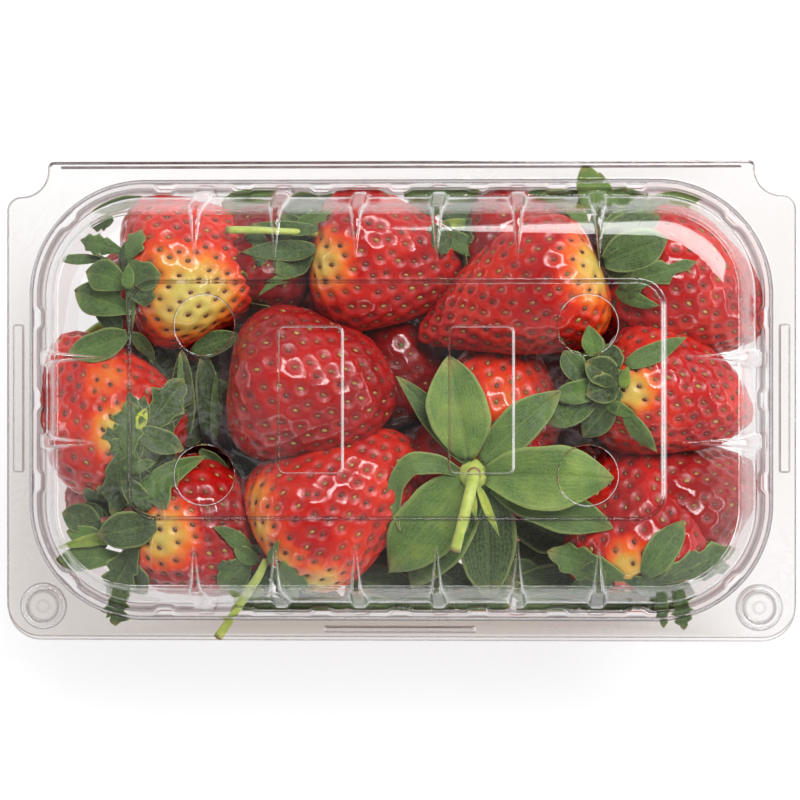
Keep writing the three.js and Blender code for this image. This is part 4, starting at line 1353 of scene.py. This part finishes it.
# each row: base px, base z, tip px, tip z, width px, options
CALYXES = {
    "calyx_01": [
        ((113, 218), 58, (90, 226), 55, 17, dict(shade=.16, teeth=.4, rest=False, warm=.9)),
        ((112, 216), 59, (96, 214), 56, 8, dict(shade=.62, shape=LANCE, rest=False, warm=.9)),
        ((100, 259), 63, (47, 257), 60, 11, dict(shape=LANCE, shade=.34, arch=1, bend=.5, warm=.3)),
        ((122, 251), 66, (80, 240), 63, 20, dict(shade=.40, teeth=.35, arch=1.5, shape=WEDGE, warm=.5)),
        ((127, 261), 67, (144, 231), 66, 20, dict(shade=.46, teeth=.3, shape=WEDGE, warm=.4)),
        ((132, 260), 69, (163, 276), 69, 30, dict(shade=.36, shape=WEDGE, arch=2, bend=-3.5, warm=.4)),
        ((128, 286), 67, (86, 272), 63, 33, dict(shade=.42, shape=WEDGE, arch=2, cup=.8, bend=-1, warm=.8)),
        ((129, 310), 65, (75, 291), 60, 36, dict(shade=.42, shape=WEDGE, arch=2, cup=.8, warm=.7)),
        ((128, 334), 63, (68, 354), 58, 31, dict(shade=.44, shape=OVAL, arch=1.5, cup=.6, bend=1, warm=.6)),
        ((128, 292), 69, (157, 297), 69, 22, dict(shade=.20, arch=1.5, shape=WEDGE, warm=.6)),
        ((128, 289), 70, (129, 264), 71, 13, dict(shade=.56, shape=LANCE, arch=1, warm=.7)),
        ((131, 334), 62, (154, 364), 55, 15, dict(shade=.34, shape=LANCE, bend=1.5, arch=0, warm=.7)),
        ((131, 290), 68, (132, 336), 62, 11, dict(shade=.60, shape=STRAP, twist=1.2, warm=.7)),
        ((120, 330), 61, (96, 300), 58, 24, dict(shade=.12, arch=0, warm=.5)),
    ],
    "calyx_03": [
        ((316, 249), 64, (243, 253), 60, 22, dict(shade=.28, shape=LANCE, arch=1.5)),
        ((312, 255), 63, (275, 274), 58, 26, dict(shade=.32, arch=1)),
        ((318, 229), 66, (250, 224), 62, 15, dict(shade=.46, shape=LANCE, bend=.8)),
        ((296, 229), 63, (334, 207), 66, 17, dict(shade=.58, teeth=.4, shape=LANCE)),
        ((306, 268), 58, (262, 298), 50, 10, dict(shade=.60, shape=LANCE, bend=-1.5, arch=0)),
        ((312, 240), 60, (282, 214), 58, 20, dict(shade=.25, arch=0)),
        ((306, 262), 55, (286, 300), 46, 24, dict(shade=.15, arch=0, rest=False)),
    ],
    "calyx_04": [
        ((478, 254), 60, (443, 232), 57, 20, dict(shade=.42, shape=OVAL, arch=1, rest=False)),
        ((476, 226), 57, (441, 222), 55, 12, dict(shade=.85, shape=STRAP, arch=0, rest=False)),
        ((476, 236), 54, (446, 246), 52, 18, dict(shade=.20, arch=0, rest=False)),
    ],
    "calyx_05": [
        ((604, 262), 66, (668, 238), 68, 42, dict(shade=.36, shape=OVAL, arch=2.5, cup=.7, nt=24, ns=12, warm=.4)),
        ((618, 286), 63, (697, 262), 66, 22, dict(shade=.42, teeth=.6, shape=LANCE, arch=2, warm=.4)),
        ((604, 240), 64, (657, 212), 60, 30, dict(shade=.22, arch=1, warm=.4)),
        ((600, 236), 62, (654, 200), 57, 26, dict(shade=.40, arch=0, rest=False, warm=.6)),
        ((602, 252), 66, (622, 226), 68, 22, dict(shade=.16, arch=1)),
        ((603, 262), 63, (636, 276), 66, 22, dict(shade=.22, arch=1)),
        ((596, 212), 58, (583, 165), 55.34, 30, dict(shade=.60, rim=True, shape=STRAP, arch=0, ruffle=0, cup=0, bend=-1, warm=.9)),
        ((606, 214), 58, (600, 172), 55.34, 30, dict(shade=.56, rim=True, shape=LANCE, arch=0, ruffle=0, cup=0, bend=1, warm=.9)),
        ((614, 214), 58, (626, 187), 55.34, 22, dict(shade=.46, rim=True, shape=WEDGE, arch=0, ruffle=0, cup=0, warm=.8)),
        ((586, 226), 60, (562, 190), 57, 16, dict(shade=.58, shape=LANCE, arch=0, rest=False, warm=.9)),
        ((616, 290), 60, (657, 307), 57, 16, dict(shade=.46, shape=LANCE, bend=-1.5, arch=1, warm=.9)),
        ((620, 300), 58, (640, 286), 58, 16, dict(shade=.30, arch=1, warm=.9)),
        ((606, 234), 58, (648, 192), 55, 24, dict(shade=.34, arch=0, rest=False, warm=.8)),
    ],
    "calyx_12": [
        ((596, 356), 70, (588, 325), 71, 22, dict(shade=.46, shape=LANCE, arch=.5, warm=.7)),
        ((588, 384), 68, (563, 351), 69, 26, dict(shade=.36, arch=1, cup=1, shape=WEDGE, warm=.4)),
        ((626, 366), 69, (687, 337), 71, 21, dict(shade=.46, shape=LANCE, arch=2, warm=.6)),
        ((602, 396), 68, (547, 424), 65, 28, dict(shade=.46, arch=1.5, shape=WEDGE, warm=.6)),
        ((602, 386), 69, (552, 398), 67, 24, dict(shade=.60, arch=1.5, warm=.8)),
        ((619, 393), 68, (583, 437), 65, 30, dict(shade=.26, arch=2, shape=WEDGE, warm=.5)),
        ((624, 414), 66, (657, 452), 65, 18, dict(shade=.46, shape=LANCE, arch=1, warm=.7)),
        ((616, 370), 68, (604, 344), 70, 26, dict(shade=.18, arch=1, warm=.4)),
        ((618, 380), 67, (585, 362), 71, 30, dict(shade=.10, arch=3, cup=1.5, warm=.4)),
        ((618, 384), 67, (586, 394), 70, 30, dict(shade=.10, arch=3, cup=1.5, warm=.5)),
        ((622, 388), 69, (628, 366), 72, 12, dict(shade=.66, shape=LANCE, arch=1, warm=1.0)),
        ((606, 404), 68, (636, 416), 68, 14, dict(shade=.50, shape=LANCE, arch=1, warm=.9)),
    ],
    "calyx_13": [
        ((622, 576), 58, (547, 551), 62, 32, dict(shade=.42, arch=2, teeth=.3, shape=WEDGE, warm=.5)),
        ((642, 574), 60, (683, 520), 63, 32, dict(shade=.40, arch=2, warm=.5)),
        ((654, 580), 59, (736, 548), 58, 30, dict(shade=.30, arch=1.5, teeth=.5, shape=WEDGE, warm=.4)),
        ((632, 578), 57, (690, 600), 54, 28, dict(shade=.26, arch=0, teeth=.4, warm=.5)),
        ((612, 580), 57, (566, 594), 54, 26, dict(shade=.30, arch=0, warm=.5)),
        ((598, 560), 60, (586, 590), 56, 26, dict(shade=.22, arch=0, warm=.5)),
        ((690, 572), 58, (730, 566), 55, 22, dict(shade=.20, arch=0, teeth=.4, warm=.4)),
        ((660, 590), 57, (664, 628), 55.34, 14, dict(shade=.40, rim=True, shape=STRAP, arch=0, ruffle=0, cup=0, teeth=.4, warm=.6)),
        ((680, 590), 57, (684, 630), 55.34, 18, dict(shade=.36, rim=True, shape=WEDGE, arch=0, ruffle=0, cup=0, teeth=.5, warm=.6)),
    ],
    "calyx_09": [
        ((250, 552), 60, (215, 526), 62, 17, dict(shade=.44, bend=-1.6, shape=LANCE, arch=1.5, warm=.6)),
        ((252, 556), 59, (222, 590), 57, 30, dict(shade=.36, arch=1, shape=WEDGE, warm=.5)),
        ((258, 562), 61, (234, 548), 63, 17, dict(shade=.50, arch=1, warm=.6)),
        ((272, 566), 58, (298, 600), 54, 22, dict(shade=.56, shape=WEDGE, arch=0, warm=.9)),
        ((262, 574), 59, (256, 604), 55, 24, dict(shade=.36, arch=0, warm=.8)),
        ((270, 562), 62, (282, 538), 64, 9, dict(shade=.50, shape=LANCE, warm=.8)),
        ((285, 560), 57, (316, 596), 52, 20, dict(shade=.44, shape=LANCE, arch=0, warm=.9)),
    ],
    "calyx_10": [
        ((158, 524), 63, (97, 536), 60, 38, dict(shade=.18, arch=2, cup=1.0, warm=.3)),
        ((134, 500), 62, (206, 456), 62, 26, dict(shade=.50, arch=1.5, bend=1.5, shape=LANCE, warm=.3)),
        ((142, 536), 59, (54, 549), 55, 14, dict(shade=.80, arch=1, shape=LANCE, bend=-1.5, warm=1.0)),
        ((124, 556), 58, (55, 560), 54, 26, dict(shade=.50, arch=0, warm=.3, shape=WEDGE)),
        ((138, 544), 59, (108, 598), 55.5, 34, dict(shade=.16, arch=0, teeth=.4, shape=WEDGE, warm=.5)),
        ((118, 590), 57, (116, 626), 55.34, 24, dict(shade=.22, rim=True, shape=WEDGE, arch=0, ruffle=0, cup=0, teeth=.7, warm=.6)),
        ((128, 590), 57, (106, 618), 55.34, 14, dict(shade=.20, rim=True, shape=LANCE, arch=0, ruffle=0, cup=0, teeth=.5, warm=.6)),
        ((124, 562), 56, (148, 594), 54, 30, dict(shade=.12, arch=0, warm=.5)),
        ((150, 510), 61, (122, 478), 63, 22, dict(shade=.18, arch=1.5, warm=.4)),
        ((100, 524), 56, (62, 512), 54, 30, dict(shade=.18, arch=1, warm=.7)),
        ((104, 540), 57, (66, 532), 54, 22, dict(shade=.50, arch=1, warm=.9)),
    ],
    "calyx_07": [
        ((131, 456), 66, (129, 400), 70, 27, dict(shade=.34, arch=2, teeth=.8, shape=WEDGE, warm=.5)),
        ((140, 430), 66, (146, 408), 68, 12, dict(shade=.98, arch=1, warm=1.0)),
        ((150, 428), 66, (184, 378), 68, 32, dict(shade=.30, arch=2, teeth=.5, warm=.4)),
        ((138, 431), 67, (184, 450), 65, 25, dict(shade=.24, arch=2, cup=.8, warm=.5)),
        ((124, 468), 64, (156, 462), 66, 16, dict(shade=.48, arch=1.5, shape=LANCE, warm=.2)),
        ((140, 440), 63, (180, 486), 60, 30, dict(shade=.14, arch=1, warm=.5)),
        ((126, 452), 62, (112, 516), 58, 26, dict(shade=.22, arch=1, teeth=.4, warm=.4)),
        ((136, 446), 62, (126, 506), 60, 22, dict(shade=.30, arch=1, warm=.4)),
        ((146, 462), 61, (170, 508), 58, 30, dict(shade=.34, arch=1, warm=.3)),
        ((150, 410), 62, (172, 444), 60, 30, dict(shade=.10, arch=1, warm=.5)),
    ],
    "calyx_08": [
        ((184, 436), 55, (182, 350), 61, 24, dict(shade=.16, shape=STRAP, arch=0, rest=False, warm=.4)),
        ((210, 436), 54, (203, 352), 58, 26, dict(shade=.12, shape=STRAP, arch=0, rest=False, bend=-1, warm=.4)),
        ((214, 440), 56, (216, 372), 59, 10, dict(shade=.50, shape=LANCE, arch=0, rest=False, warm=.5)),
        # near-black leaves in the gaps, coloured as painted shade
        ((176, 444), 51, (210, 412), 50, 30, dict(shade=.04, arch=0, rest=False, warm=.5)),
        ((232, 474), 50, (262, 444), 50, 28, dict(shade=.02, arch=0, rest=False, warm=.5)),
        ((136, 336), 50, (176, 388), 48, 46, dict(shade=.0, arch=0, rest=False, warm=.9)),
        ((176, 320), 48, (150, 372), 48, 34, dict(shade=.02, arch=0, rest=False, warm=.9)),
        ((192, 352), 58, (239, 334), 60, 24, dict(shade=.22, arch=0, rest=False, warm=.7)),
        ((181, 420), 60, (180, 352), 63, 7, dict(shade=.62, shape=STRAP, arch=0, rest=False, warm=.5)),
        ((190, 470), 56, (222, 500), 52, 20, dict(shade=.20, arch=0, rest=False)),
        ((200, 450), 58, (232, 478), 54, 16, dict(shade=.20, arch=0, rest=False, warm=.7)),
    ],
    # dark leaves along the front wall; their dark colour is partly painted shade for the gaps there
    "calyx_16": [
        ((344, 578), 51, (424, 594), 52, 40, dict(shade=.04, arch=0, rest=False, warm=.5)),
        ((470, 574), 50, (396, 590), 51, 44, dict(shade=.08, arch=0, rest=False, warm=.7)),
        ((436, 588), 52, (520, 584), 52, 44, dict(shade=.05, arch=0, rest=False, warm=.5)),
        ((590, 584), 52, (506, 590), 51, 46, dict(shade=.10, arch=0, rest=False, warm=.7)),
        ((556, 570), 50, (620, 596), 51, 36, dict(shade=.05, arch=0, rest=False, warm=.5)),
        ((540, 556), 46, (590, 572), 46, 36, dict(shade=.02, arch=0, rest=False, warm=.5)),
        ((410, 560), 50, (344, 596), 48, 36, dict(shade=.10, arch=0, rest=False, warm=.6)),
        ((512, 514), 53, (572, 546), 51, 44, dict(shade=.03, arch=0, rest=False, warm=.6)),
        ((414, 556), 54, (474, 592), 52, 36, dict(shade=.06, arch=0, rest=False, warm=.6)),
        ((396, 540), 46, (372, 592), 50, 40, dict(shade=.06, arch=0, rest=False, warm=.4)),
        ((340, 600), 53.5, (404, 609), 53, 22, dict(shade=.24, arch=0, rest=False, warm=.8)),
        ((396, 606), 53.5, (462, 604), 53, 24, dict(shade=.14, arch=0, rest=False, warm=.6)),
        ((430, 560), 48, (446, 600), 50, 40, dict(shade=.06, arch=0, rest=False, warm=.5)),
        ((444, 598), 53.5, (512, 606), 53, 26, dict(shade=.30, arch=0, rest=False, warm=.5)),
        ((500, 566), 52, (556, 600), 50, 42, dict(shade=.28, arch=0, rest=False, warm=.5)),
        ((516, 606), 53.5, (588, 602), 53, 24, dict(shade=.20, arch=0, rest=False, warm=.7)),
        ((560, 560), 50, (506, 548), 48, 30, dict(shade=.12, arch=0, rest=False, warm=.4)),
        ((276, 590), 52, (344, 600), 52, 30, dict(shade=.14, arch=0, rest=False, warm=.6)),
        ((596, 590), 52, (668, 598), 52, 30, dict(shade=.12, arch=0, rest=False, warm=.6)),
        ((330, 592), 51.5, (300, 604), 53, 24, dict(shade=.30, arch=0, rest=False, warm=.7)),
        ((650, 590), 51.5, (612, 603), 53, 24, dict(shade=.26, arch=0, rest=False, warm=.6)),
        ((290, 606), 53.5, (350, 606), 53, 20, dict(shade=.26, arch=0, rest=False, warm=.8)),
        ((236, 604), 54, (300, 608), 53, 20, dict(shade=.34, arch=0, rest=False, warm=.9)),
        ((580, 606), 53.5, (640, 604), 53, 18, dict(shade=.22, arch=0, rest=False, warm=.6)),
    ],
    "calyx_top": [
        ((222, 206), 55, (276, 190), 53.5, 24, dict(shade=.42, arch=0, rest=False, warm=.8)),
        ((282, 214), 54, (322, 198), 53.5, 28, dict(shade=.22, arch=0, rest=False, warm=.7)),
        ((312, 214), 54, (346, 199), 53.5, 28, dict(shade=.14, arch=0, rest=False, warm=.5)),
        ((404, 214), 54, (444, 202), 53.5, 28, dict(shade=.18, arch=0, rest=False, warm=.7)),
        ((404, 196), 54.5, (482, 192), 53.5, 22, dict(shade=.36, arch=0, rest=False, warm=.6)),
        ((440, 216), 54, (486, 200), 53.5, 26, dict(shade=.14, arch=0, rest=False, warm=.8)),
        ((530, 210), 54, (590, 196), 53.5, 30, dict(shade=.16, arch=0, rest=False, warm=.8)),
        ((520, 200), 54.5, (572, 192), 53.5, 18, dict(shade=.34, arch=0, rest=False, warm=.8)),
        ((640, 208), 54.5, (706, 194), 53.5, 20, dict(shade=.66, arch=0, rest=False, warm=.5)),
        ((580, 200), 54.5, (644, 194), 53.5, 20, dict(shade=.40, arch=0, rest=False, warm=.7)),
        ((142, 198), 54, (92, 212), 53.5, 14, dict(shade=.36, arch=0, rest=False, warm=.4)),
    ],
}

# the big open calyx in the middle of the front
HERO = [
    ((470, 462), 67.5, (396, 376), 66, 30, dict(shape=LANCE, shade=.40, arch=3, bend=-1.5, cup=.5)),
    ((478, 478), 66.5, (411, 590), 58, 52, dict(shade=.40, arch=1)),
    ((484, 480), 66, (490, 600), 56, 58, dict(shade=.20, arch=1)),
    ((492, 486), 67, (613, 528), 66, 44, dict(shade=.52, arch=1.5)),
    ((468, 458), 68.5, (448, 356), 72, 60, dict(shade=.68, arch=3.5, shape=OVAL, cup=.5)),
    ((482, 462), 68, (561, 391), 70, 40, dict(shade=.54, arch=3, bend=1.0)),
    ((486, 476), 69, (614, 478), 74, 64, dict(shade=.66, arch=2.5, shape=OVAL, cup=.6)),
    ((466, 478), 67, (389, 573), 62, 66, dict(shade=.60, arch=4, shape=OVAL, cup=.5)),
    ((478, 486), 69, (499, 536), 70, 9, dict(shade=.90, shape=LANCE, arch=1)),
    ((470, 486), 68, (476, 520), 68, 9, dict(shade=.84, shape=LANCE, arch=1)),
]


# dark under-leaves; their darkness is partly painted shade under the calyxes
UNDER = [   # px centre, z, reach px, how many, shade from, to
    ((122, 282), 60, 40, 6, .05, .30), ((150, 432), 60, 44, 10, .05, .34), ((112, 520), 57, 44, 8, .06, .32),
    ((200, 392), 54, 34, 5, .04, .22), ((624, 236), 60, 40, 7, .05, .32), ((594, 384), 64, 34, 7, .04, .30),
    ((652, 588), 56, 48, 7, .05, .34), ((250, 572), 55, 34, 5, .08, .34), ((452, 232), 53, 30, 4, .04, .2),
    ((276, 250), 55, 30, 5, .05, .26)]


def make_under_leaves(heights):
    rng = np.random.default_rng(5)
    for i, ((px, py), z, reach, count, lo_, hi_) in enumerate(UNDER):
        parts = []
        for k in range(count):
            a = 2 * math.pi * (k + rng.uniform(-0.3, 0.3)) / count
            r0, r1 = reach * rng.uniform(0.05, 0.35), reach * rng.uniform(0.75, 1.05)
            b = a + rng.uniform(-0.5, 0.5)
            p = (px + r0 * math.cos(a), py + r0 * math.sin(a))
            q = (px + r1 * math.cos(b), py + r1 * math.sin(b))
            parts.append(px_leaf(p, z + rng.uniform(-2, 1), q, z - rng.uniform(1, 6), rng.uniform(14, 26), heights,
                                 shape=(OVAL, LANCE, WEDGE)[int(rng.integers(3))], shade=rng.uniform(lo_, hi_), seed=700 + i * 20 + k,
                                 bend=rng.uniform(-2, 2), arch=rng.uniform(0, 2), curl=rng.uniform(0, 1.5), ruffle=rng.uniform(.5, 1.2),
                                 teeth=rng.uniform(0, .6), cup=rng.uniform(.3, 1.2), lift=0.3, warm=rng.uniform(.2, .9),
                                 twist=rng.uniform(-.5, .5), nt=14, ns=6))
        join("under_leaves_%02d" % (i + 1), parts)


def make_calyxes(heights):
    n = 0
    for name, rows in CALYXES.items():
        parts = []
        for b, zb, t, zt, w, o in rows:
            n += 1
            parts.append(px_leaf(b, zb, t, zt, w, heights, seed=n, **o))
        stems = []
        if name == "calyx_03":
            p = [at_px(226, 230, 67), at_px(250, 230, 67.5), at_px(276, 231, 67), at_px(300, 232, 65), at_px(322, 234, 62)]
            stems.append(tube(p[::-1], [0.9, 0.75, 0.8, 0.9, 0.95], shade=.8))
        if name == "calyx_09":
            pts = [(266, 560, 65), (258, 577, 63), (248, 592, 60.2), (239, 605, 57.6), (233, 615, 56.6), (228, 623, 55.42), (223, 630, 55.34), (217.5, 638, 55.34)]
            stems.append(tube([at_px(*q) for q in pts], [0.8, 1.05, 1.1, 1.1, 1.0, 0.95, 1.05, 1.1],
                              squash=[1, 1, .9, .6, .4, .24, .2, .2], shade=.6))
        if name == "calyx_12":
            p = [at_px(619, 381, 62), at_px(606, 378, 67), at_px(598, 376, 69.5)]
            stems.append(tube(p, [2.2, 1.8, 1.4], shade=.3))
        join(name, parts, stems)
    parts = []
    for k, (b, zb, t, zt, w, o) in enumerate(HERO):
        parts.append(px_leaf(b, zb, t, zt, w, heights, seed=200 + k, nt=30, ns=16, thick=.3, **o))
    # the leaf on the left that turns over on itself
    pts = [at_px(458, 472, 67.5), at_px(436, 464, 70.5), at_px(416, 463, 71), at_px(402, 474, 69.5), at_px(395, 492, 67.5), at_px(396, 514, 66), at_px(400, 531, 65.5)]
    parts.append(ribbon(pts, [2.0, 4.6, 5.4, 4.6, 3.6, 1.6, 0.3], shade=.56, seed=7))
    c = at_px(474, 474, 68.5)
    stem = [at_px(474, 473, 68), at_px(472, 484, 71), at_px(466, 508, 73), at_px(460, 532, 73.2), at_px(455, 551, 72.5)]
    crown = tube([c - [0, 0, 4], c - [0, 0, 1.2], c + [0, 0, 0.6]], [3.4, 3.6, 1.6], around=16, shade=.7)
    join("calyx_hero", parts, [tube(stem, [1.5, 1.42, 1.3, 1.2, 1.3], around=14, shade=.9), crown])


def ribbon(pts, widths, shade=.5, seed=0, thick=.28, ns=8):
    """A leaf that follows a path through the given points."""
    p = np.array(pts, float)
    k = np.linspace(0, 1, len(p))
    nt = 30
    t = np.linspace(0, 1, nt + 1)
    c = np.stack([catmull(k, p[:, i], t) for i in range(3)], 1)
    w = catmull(k, widths, t) / 2
    tan = np.gradient(c, axis=0)
    tan /= np.linalg.norm(tan, axis=1)[:, None]
    side = np.cross([0, 0, 1.0], tan)
    side /= np.linalg.norm(side, axis=1)[:, None] + 1e-9
    up = np.cross(tan, side)
    s = np.linspace(-1, 1, ns + 1)
    v = c[:, None] + side[:, None] * (w[:, None] * s[None])[..., None] + up[:, None] * ((s ** 2 * 0.5 - 0.2)[None] * w[:, None] * 0.5)[..., None]
    du, dv = np.gradient(v, axis=0), np.gradient(v, axis=1)
    n = np.cross(du, dv)
    n /= np.linalg.norm(n, axis=2)[..., None] + 1e-12
    n *= np.sign(n[..., 2].sum())
    ss, tt = np.meshgrid(s, t)
    upper, lower = v + n * thick / 2, v - n * thick / 2
    m = (nt + 1) * (ns + 1)
    idx = np.arange(m).reshape(nt + 1, ns + 1)
    q = np.stack([idx[:-1, :-1], idx[1:, :-1], idx[1:, 1:], idx[:-1, 1:]], -1).reshape(-1, 4)
    ring = np.concatenate([idx[0, :-1], idx[:-1, -1], idx[-1, :0:-1], idx[:0:-1, 0]])
    r2 = np.roll(ring, -1)
    sew = np.stack([ring, r2, r2 + m, ring + m], 1)
    a, b2, c2 = v[3, 3], v[4, 3], v[4, 4]
    if np.cross(b2 - a, c2 - a)[2] < 0:
        q, sew = q[:, ::-1], sew[:, ::-1]
    return {"v": np.concatenate([upper.reshape(-1, 3), lower.reshape(-1, 3)]), "q": np.concatenate([q, q[:, ::-1] + m, sew]),
            "t": np.tile(tt.ravel(), 2), "s": np.tile(ss.ravel(), 2), "shade": np.full(2 * m, shade), "warm": np.full(2 * m, 0.2)}


def make_plain_calyx(name, berry, seed):
    """A ring of small leaves on a berry whose calyx the heap hides."""
    rng = np.random.default_rng(seed)
    parts = []
    n = int(rng.integers(8, 11))
    top = berry.start + berry.tip_dir * berry.length * 0.06
    for k in range(n):
        a = 2 * math.pi * k / n + rng.normal(0, 0.12)
        out = berry.ax * math.cos(a) + berry.az * math.sin(a)
        l = rng.uniform(9, 14)
        base = top + out * 1.6
        reach = berry.width * 0.30
        tip = top + out * (reach + l * 0.35) + berry.tip_dir * l * 0.42 * rng.uniform(0.2, 1.2)
        d = tip - base
        side = np.cross(berry.tip_dir, out)
        part = leaf([0, 0, 0], [np.linalg.norm(d), 0, 0], rng.uniform(5, 7.5), shape=LANCE, arch=1.6, cup=.5, shade=rng.uniform(.2, .5),
                    seed=seed * 20 + k, nt=8, ns=4, rest=False)
        # turn from the flat layout onto the berry's shoulder
        ex, ez = unit(d), unit(np.cross(unit(d), side))
        if ez @ (-berry.tip_dir * 0.6 + out) < 0:
            ez = -ez
        ey = np.cross(ez, ex)
        m = np.stack([ex, ey, ez])
        part["v"] = keep_inside(base + part["v"] @ m, 0.4)
        parts.append(part)
    stem = [top - berry.tip_dir * -0.5, top - berry.tip_dir * 2.5, top - berry.tip_dir * rng.uniform(4, 7) + berry.ax * 1.0]
    s = tube(stem, [1.3, 1.1, 1.0], around=8, shade=.4)
    s["v"] = keep_inside(s["v"], 0.4)
    return join(name, parts, [s])


# ---------------------------------------------------------------------- lights
def area(name, loc, target, size, size_y, power, color=(1, 1, 1)):
    d = bpy.data.lights.new(name, "AREA")
    d.shape, d.size, d.size_y, d.energy, d.color = "RECTANGLE", size, size_y, power, color
    o = bpy.data.objects.new(name, d)
    bpy.context.scene.collection.objects.link(o)
    o.location = loc
    o.rotation_mode = "QUATERNION"
    o.rotation_quaternion = (Vector(target) - Vector(loc)).to_track_quat("-Z", "Y")
    return o


def make_stage():
    w = bpy.data.worlds.new("studio")
    scene.world = w
    w.use_nodes = True
    t = w.node_tree
    t.nodes.clear()
    out = t.nodes.new("ShaderNodeOutputWorld")
    bg = t.nodes.new("ShaderNodeBackground")
    bg.inputs["Strength"].default_value = 1.0
    co = t.nodes.new("ShaderNodeTexCoord")
    sep = t.nodes.new("ShaderNodeSeparateXYZ")
    ramp = t.nodes.new("ShaderNodeValToRGB")
    e = ramp.color_ramp.elements
    sky = [(0.0, 0.42), (0.09, 0.32), (0.24, 0.22), (0.5, 0.37), (0.84, 0.36), (0.93, 0.18), (0.968, 0.04), (1.0, 0.03)]
    while len(e) < len(sky):
        e.new(0.5)
    for k, (z, g) in enumerate(sky):
        e[k].position, e[k].color = z, (g, g, g * 1.02, 1)
    t.links.new(co.outputs["Generated"], sep.inputs[0])
    t.links.new(sep.outputs["Z"], ramp.inputs[0])
    t.links.new(ramp.outputs[0], bg.inputs["Color"])
    t.links.new(bg.outputs[0], out.inputs["Surface"])
    area("key_softbox", (0.395, 0.543, 1.055), (0, 0, 0.06), 0.90, 0.36, 18.6)
    area("right_strip", (1.15, -0.05, 0.36), (0, 0, 0.06), 1.1, 0.10, 4.2)
    area("left_strip", (-1.15, 0.05, 0.40), (0, 0, 0.06), 1.1, 0.10, 3.4)
    area("front_strip", (0.1, -1.1, 0.34), (0, 0, 0.06), 1.2, 0.08, 2.5)
    # floor
    me = bpy.data.meshes.new("floor")
    s = 6.0
    me.from_pydata([(-s, -s, -0.0004), (s, -s, -0.0004), (s, s, -0.0004), (-s, s, -0.0004)], [], [(0, 1, 2, 3)])
    m = Nodes("white_floor")
    col = m.mix(m.ranged(m.noise(m.coords(), 3, 2), 0.3, 0.7), (0.90, 0.90, 0.90, 1), (0.92, 0.92, 0.92, 1))
    col = m.mix(1.0, col, (0.30, 0.30, 0.30, 1), "MULTIPLY")
    me.materials.append(m.done(m.principled(Base_Color=col, Roughness=0.9, Specular_IOR_Level=0.1,
                                            Emission_Color=(1, 1, 1, 1), Emission_Strength=0.78).outputs[0]))
    ob = bpy.data.objects.new("floor", me)
    bpy.context.scene.collection.objects.link(ob)


make_stage()
make_lid()
make_tray()
make_hinge()
BERRIES = make_berries()
make_core()
HEAP = Heights(BERRIES.values())
make_under_leaves(HEAP)
make_calyxes(HEAP)
for i, k in enumerate(("B6", "B11", "B16", *[k for k in BERRIES if k[0] in "ML"])):
    if k != "B16":
        make_plain_calyx("calyx_" + BERRIES[k].name[6:], BERRIES[k], 300 + i)
